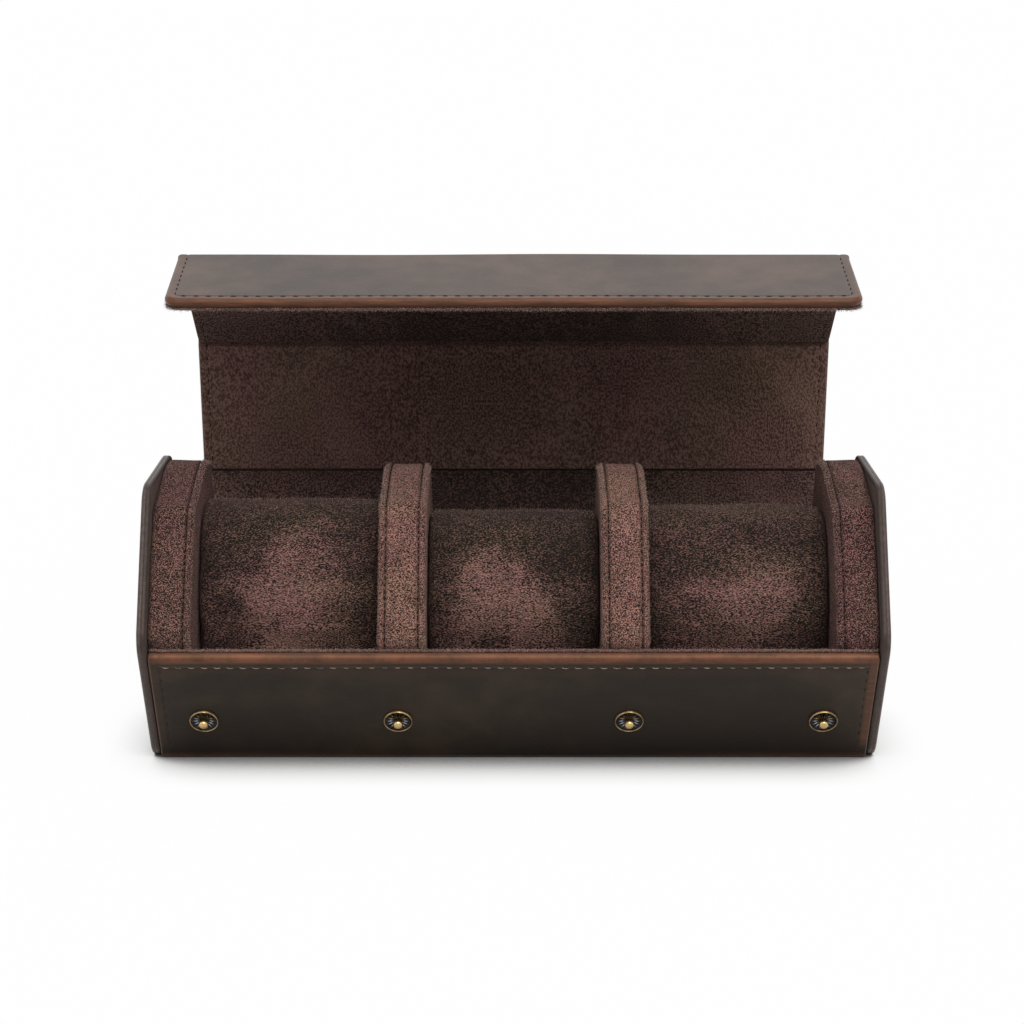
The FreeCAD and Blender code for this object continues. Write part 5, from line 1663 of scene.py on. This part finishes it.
def turned_studs(name, profile, material, node, flutes=0, closed=False):
    """Turned pieces at the four stud places: a profile of radius and height carried round each stud's
    axis. Flutes raise and lower it as a cosine round the turn, and their ribs carry painted glints."""
    centres = station_centres("stud_posts")
    level = (centres - np.array([0, 0, APOTHEM])) @ WALL_OUT
    centres = centres + (APOTHEM - level)[:, None] * WALL_OUT
    radius, height = profile.T
    turn = np.linspace(0, 2 * math.pi, STUD_STEPS, endpoint=False)
    lift = height[:, None] + 0 * turn
    values = None
    if flutes:
        wave = np.cos(flutes * turn)[None]
        lift = lift + FLUTE_DEPTH * wave * bell(radius, radius.mean(), radius.std() + FLUTE_EASE)[:, None]
        # Painted glints on the flutes' ribs, near the middle of the dish
        glint = bell(radius, GLINT_RADIUS, GLINT_WIDTH)[:, None] * np.maximum(wave, 0) ** GLINT_POWER
        values = {"glint": np.repeat(glint[None, ..., None], len(centres), axis=0)}
    across = radius[:, None] * np.cos(turn)
    up = radius[:, None] * np.sin(turn)
    shape = across[..., None] * np.array([1, 0, 0]) + up[..., None] * WALL_UP + lift[..., None] * WALL_OUT
    points = centres[:, None, None, :] + shape[None]
    faces = grid_faces(*shape.shape[:2], wrap_rows=closed, wrap_columns=True)
    faces = repeated(faces, len(centres), shape.shape[0] * shape.shape[1])
    piece = make_piece(name, points, faces, material, values)
    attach(piece, "base")
    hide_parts(node)


RIM_PROFILE = MM * np.array([
    (4.46, 0.30), (4.44, 0.60), (4.48, 0.80), (4.58, 0.90), (4.72, 0.92), (4.84, 0.84), (4.93, 0.66),
    (4.99, 0.36), (5.00, 0.05), (4.96, -0.1), (4.46, -0.1),
])
DISH_PROFILE = MM * np.array([
    (4.48, 0.62), (4.0, 0.5), (3.4, 0.36), (2.9, 0.25), (2.4, 0.18), (1.9, 0.15), (1.2, 0.14), (1.1, -0.05),
    (4.4, -0.05),
])
POST_PROFILE = MM * np.array([
    (0.0, -0.6), (1.1, -0.6), (1.12, 0.4), (1.18, 0.8), (1.38, 1.1), (1.62, 1.45), (1.7, 1.85), (1.66, 2.25),
    (1.48, 2.65), (1.15, 2.93), (0.65, 3.07), (0.0, 3.1),
])
turned_studs("snap_rims", RIM_PROFILE, antique_brass, "stud_rims", closed=True)
turned_studs(
    "snap_dishes", DISH_PROFILE, black_nickel, "stud_dishes", flutes=FLUTES, closed=True
)
turned_studs("snap_posts", POST_PROFILE, post_brass, "stud_posts")

# Finishes of the CAD pieces that stay
for node_name, node in frame["nodes"].items():
    if node_name.endswith("_facing"):
        finish = facing_leather
    elif node_name.endswith("_board"):
        finish = millboard
    elif node_name == "socket_springs":
        finish = spring_steel
    else:
        finish = antique_brass
    node.data.materials.clear()
    node.data.materials.append(finish)


# Floor, light and camera

def seen_share(tree):
    """1 for what the camera sees and for what metal mirrors, 0 for the light that falls on the case."""
    path = tree.nodes.new("ShaderNodeLightPath")
    seen = math_node(tree, "MAXIMUM", path.outputs["Is Camera Ray"], path.outputs["Is Glossy Ray"])
    return math_node(tree, "MAXIMUM", seen, path.outputs["Is Transmission Ray"])


FLOOR_PALE = (0.8, 0.8, 0.795, 1)
# Colour of the floor's painted shadow where it touches the case
FLOOR_PAINTED_SHADOW = (0.2, 0.195, 0.19, 1)
FLOOR_REACH = 30
FLOOR_DROP = 0.02 * MM
SHELTER_REACH = 35 * MM


def make_floor():
    """Pale floor, wide enough to reach past the view: seen white where it lies open, with its own shading
    close to the case, and a painted shadow in its colour, darker where the two touch."""
    points = FLOOR_REACH * np.array([[-1, -1, 0], [1, -1, 0], [1, 1, 0], [-1, 1, 0]], float)
    points[:, 2] = -FLOOR_DROP
    material, tree, shader = new_material("pale_floor")
    shader.inputs["Roughness"].default_value = 0.9
    shader.inputs["Specular IOR Level"].default_value = 0.0
    shelter = add_node(tree, "ShaderNodeAmbientOcclusion", {"Distance": SHELTER_REACH})
    # Painted shadow: the floor's colour darkens where the case shelters it
    colour = blend_colours(tree, remap(tree, shelter.outputs["AO"], 0.2, 0.5), FLOOR_PAINTED_SHADOW, FLOOR_PALE)
    tree.links.new(colour, shader.inputs["Base Color"])
    lies_open = remap(tree, shelter.outputs["AO"], 0.28, 0.85, 0.0, 0.97)
    white = add_node(tree, "ShaderNodeEmission", {"Color": (1, 1, 1, 1), "Strength": 1.0})
    share = math_node(tree, "MULTIPLY", lies_open, seen_share(tree))
    blended = add_node(
        tree, "ShaderNodeMixShader", {0: share, 1: shader.outputs["BSDF"], 2: white.outputs["Emission"]}
    )
    output = next(node for node in tree.nodes if node.type == "OUTPUT_MATERIAL")
    tree.links.new(blended.outputs["Shader"], output.inputs["Surface"])
    floor = make_piece("floor", points, np.array([[0, 1, 2, 3]]), material)


def add_sun(name, strength, spread, direction):
    """A wide soft light from far away. The direction is where it shines from."""
    light = bpy.data.lights.new(name, "SUN")
    light.energy = strength
    light.angle = math.radians(spread)
    lamp = bpy.data.objects.new(name, light)
    back = np.array(direction, float)
    lamp.rotation_euler = (
        math.atan2(math.hypot(back[0], back[1]), back[2]), 0.0, math.atan2(back[0], -back[1])
    )
    bpy.context.scene.collection.objects.link(lamp)


WORLD_LIGHT = 0.28


def set_world():
    """Even white surroundings: dimmer for the light they give, full white where they are seen or
    mirrored."""
    world = bpy.data.worlds.new("white_studio")
    bpy.context.scene.world = world
    world.use_nodes = True
    tree = world.node_tree
    tree.nodes.clear()
    lit = math_node(tree, "MULTIPLY", seen_share(tree), 1 - WORLD_LIGHT)
    strength = math_node(tree, "ADD", lit, WORLD_LIGHT)
    background = add_node(tree, "ShaderNodeBackground", {"Color": (1, 1, 1, 1), "Strength": strength})
    output = tree.nodes.new("ShaderNodeOutputWorld")
    tree.links.new(background.outputs["Background"], output.inputs["Surface"])


CAMERA_PLACE = (0.0, -0.8391, 0.2720)
CAMERA_ELEVATION = math.radians(14.82)
CAMERA_LENS = 87.56
CAMERA_SENSOR = 36
CAMERA_REACH = 100
CAMERA_SHIFT = (-0.0016, 0.082)


def make_camera():
    """Camera at the photograph's height and distance, in front of the case."""
    camera = bpy.data.cameras.new("camera")
    camera.lens = CAMERA_LENS
    camera.sensor_width = CAMERA_SENSOR
    camera.shift_x, camera.shift_y = CAMERA_SHIFT
    camera.clip_end = CAMERA_REACH
    holder = bpy.data.objects.new("camera", camera)
    holder.location = CAMERA_PLACE
    holder.rotation_euler = (math.pi / 2 - CAMERA_ELEVATION, 0, 0)
    bpy.context.scene.collection.objects.link(holder)
    bpy.context.scene.camera = holder


make_floor()
set_world()
add_sun("overhead_light", 1.3, 60, (0.12, -0.3, 1.0))
add_sun("front_light", 1.35, 40, (0.15, -1.0, 0.85))
add_sun("left_light", 0.4, 50, (-1.0, -0.5, 0.6))
add_sun("right_light", 0.4, 50, (1.0, -0.5, 0.6))
make_camera()
bpy.context.scene.view_settings.view_transform = "Standard"
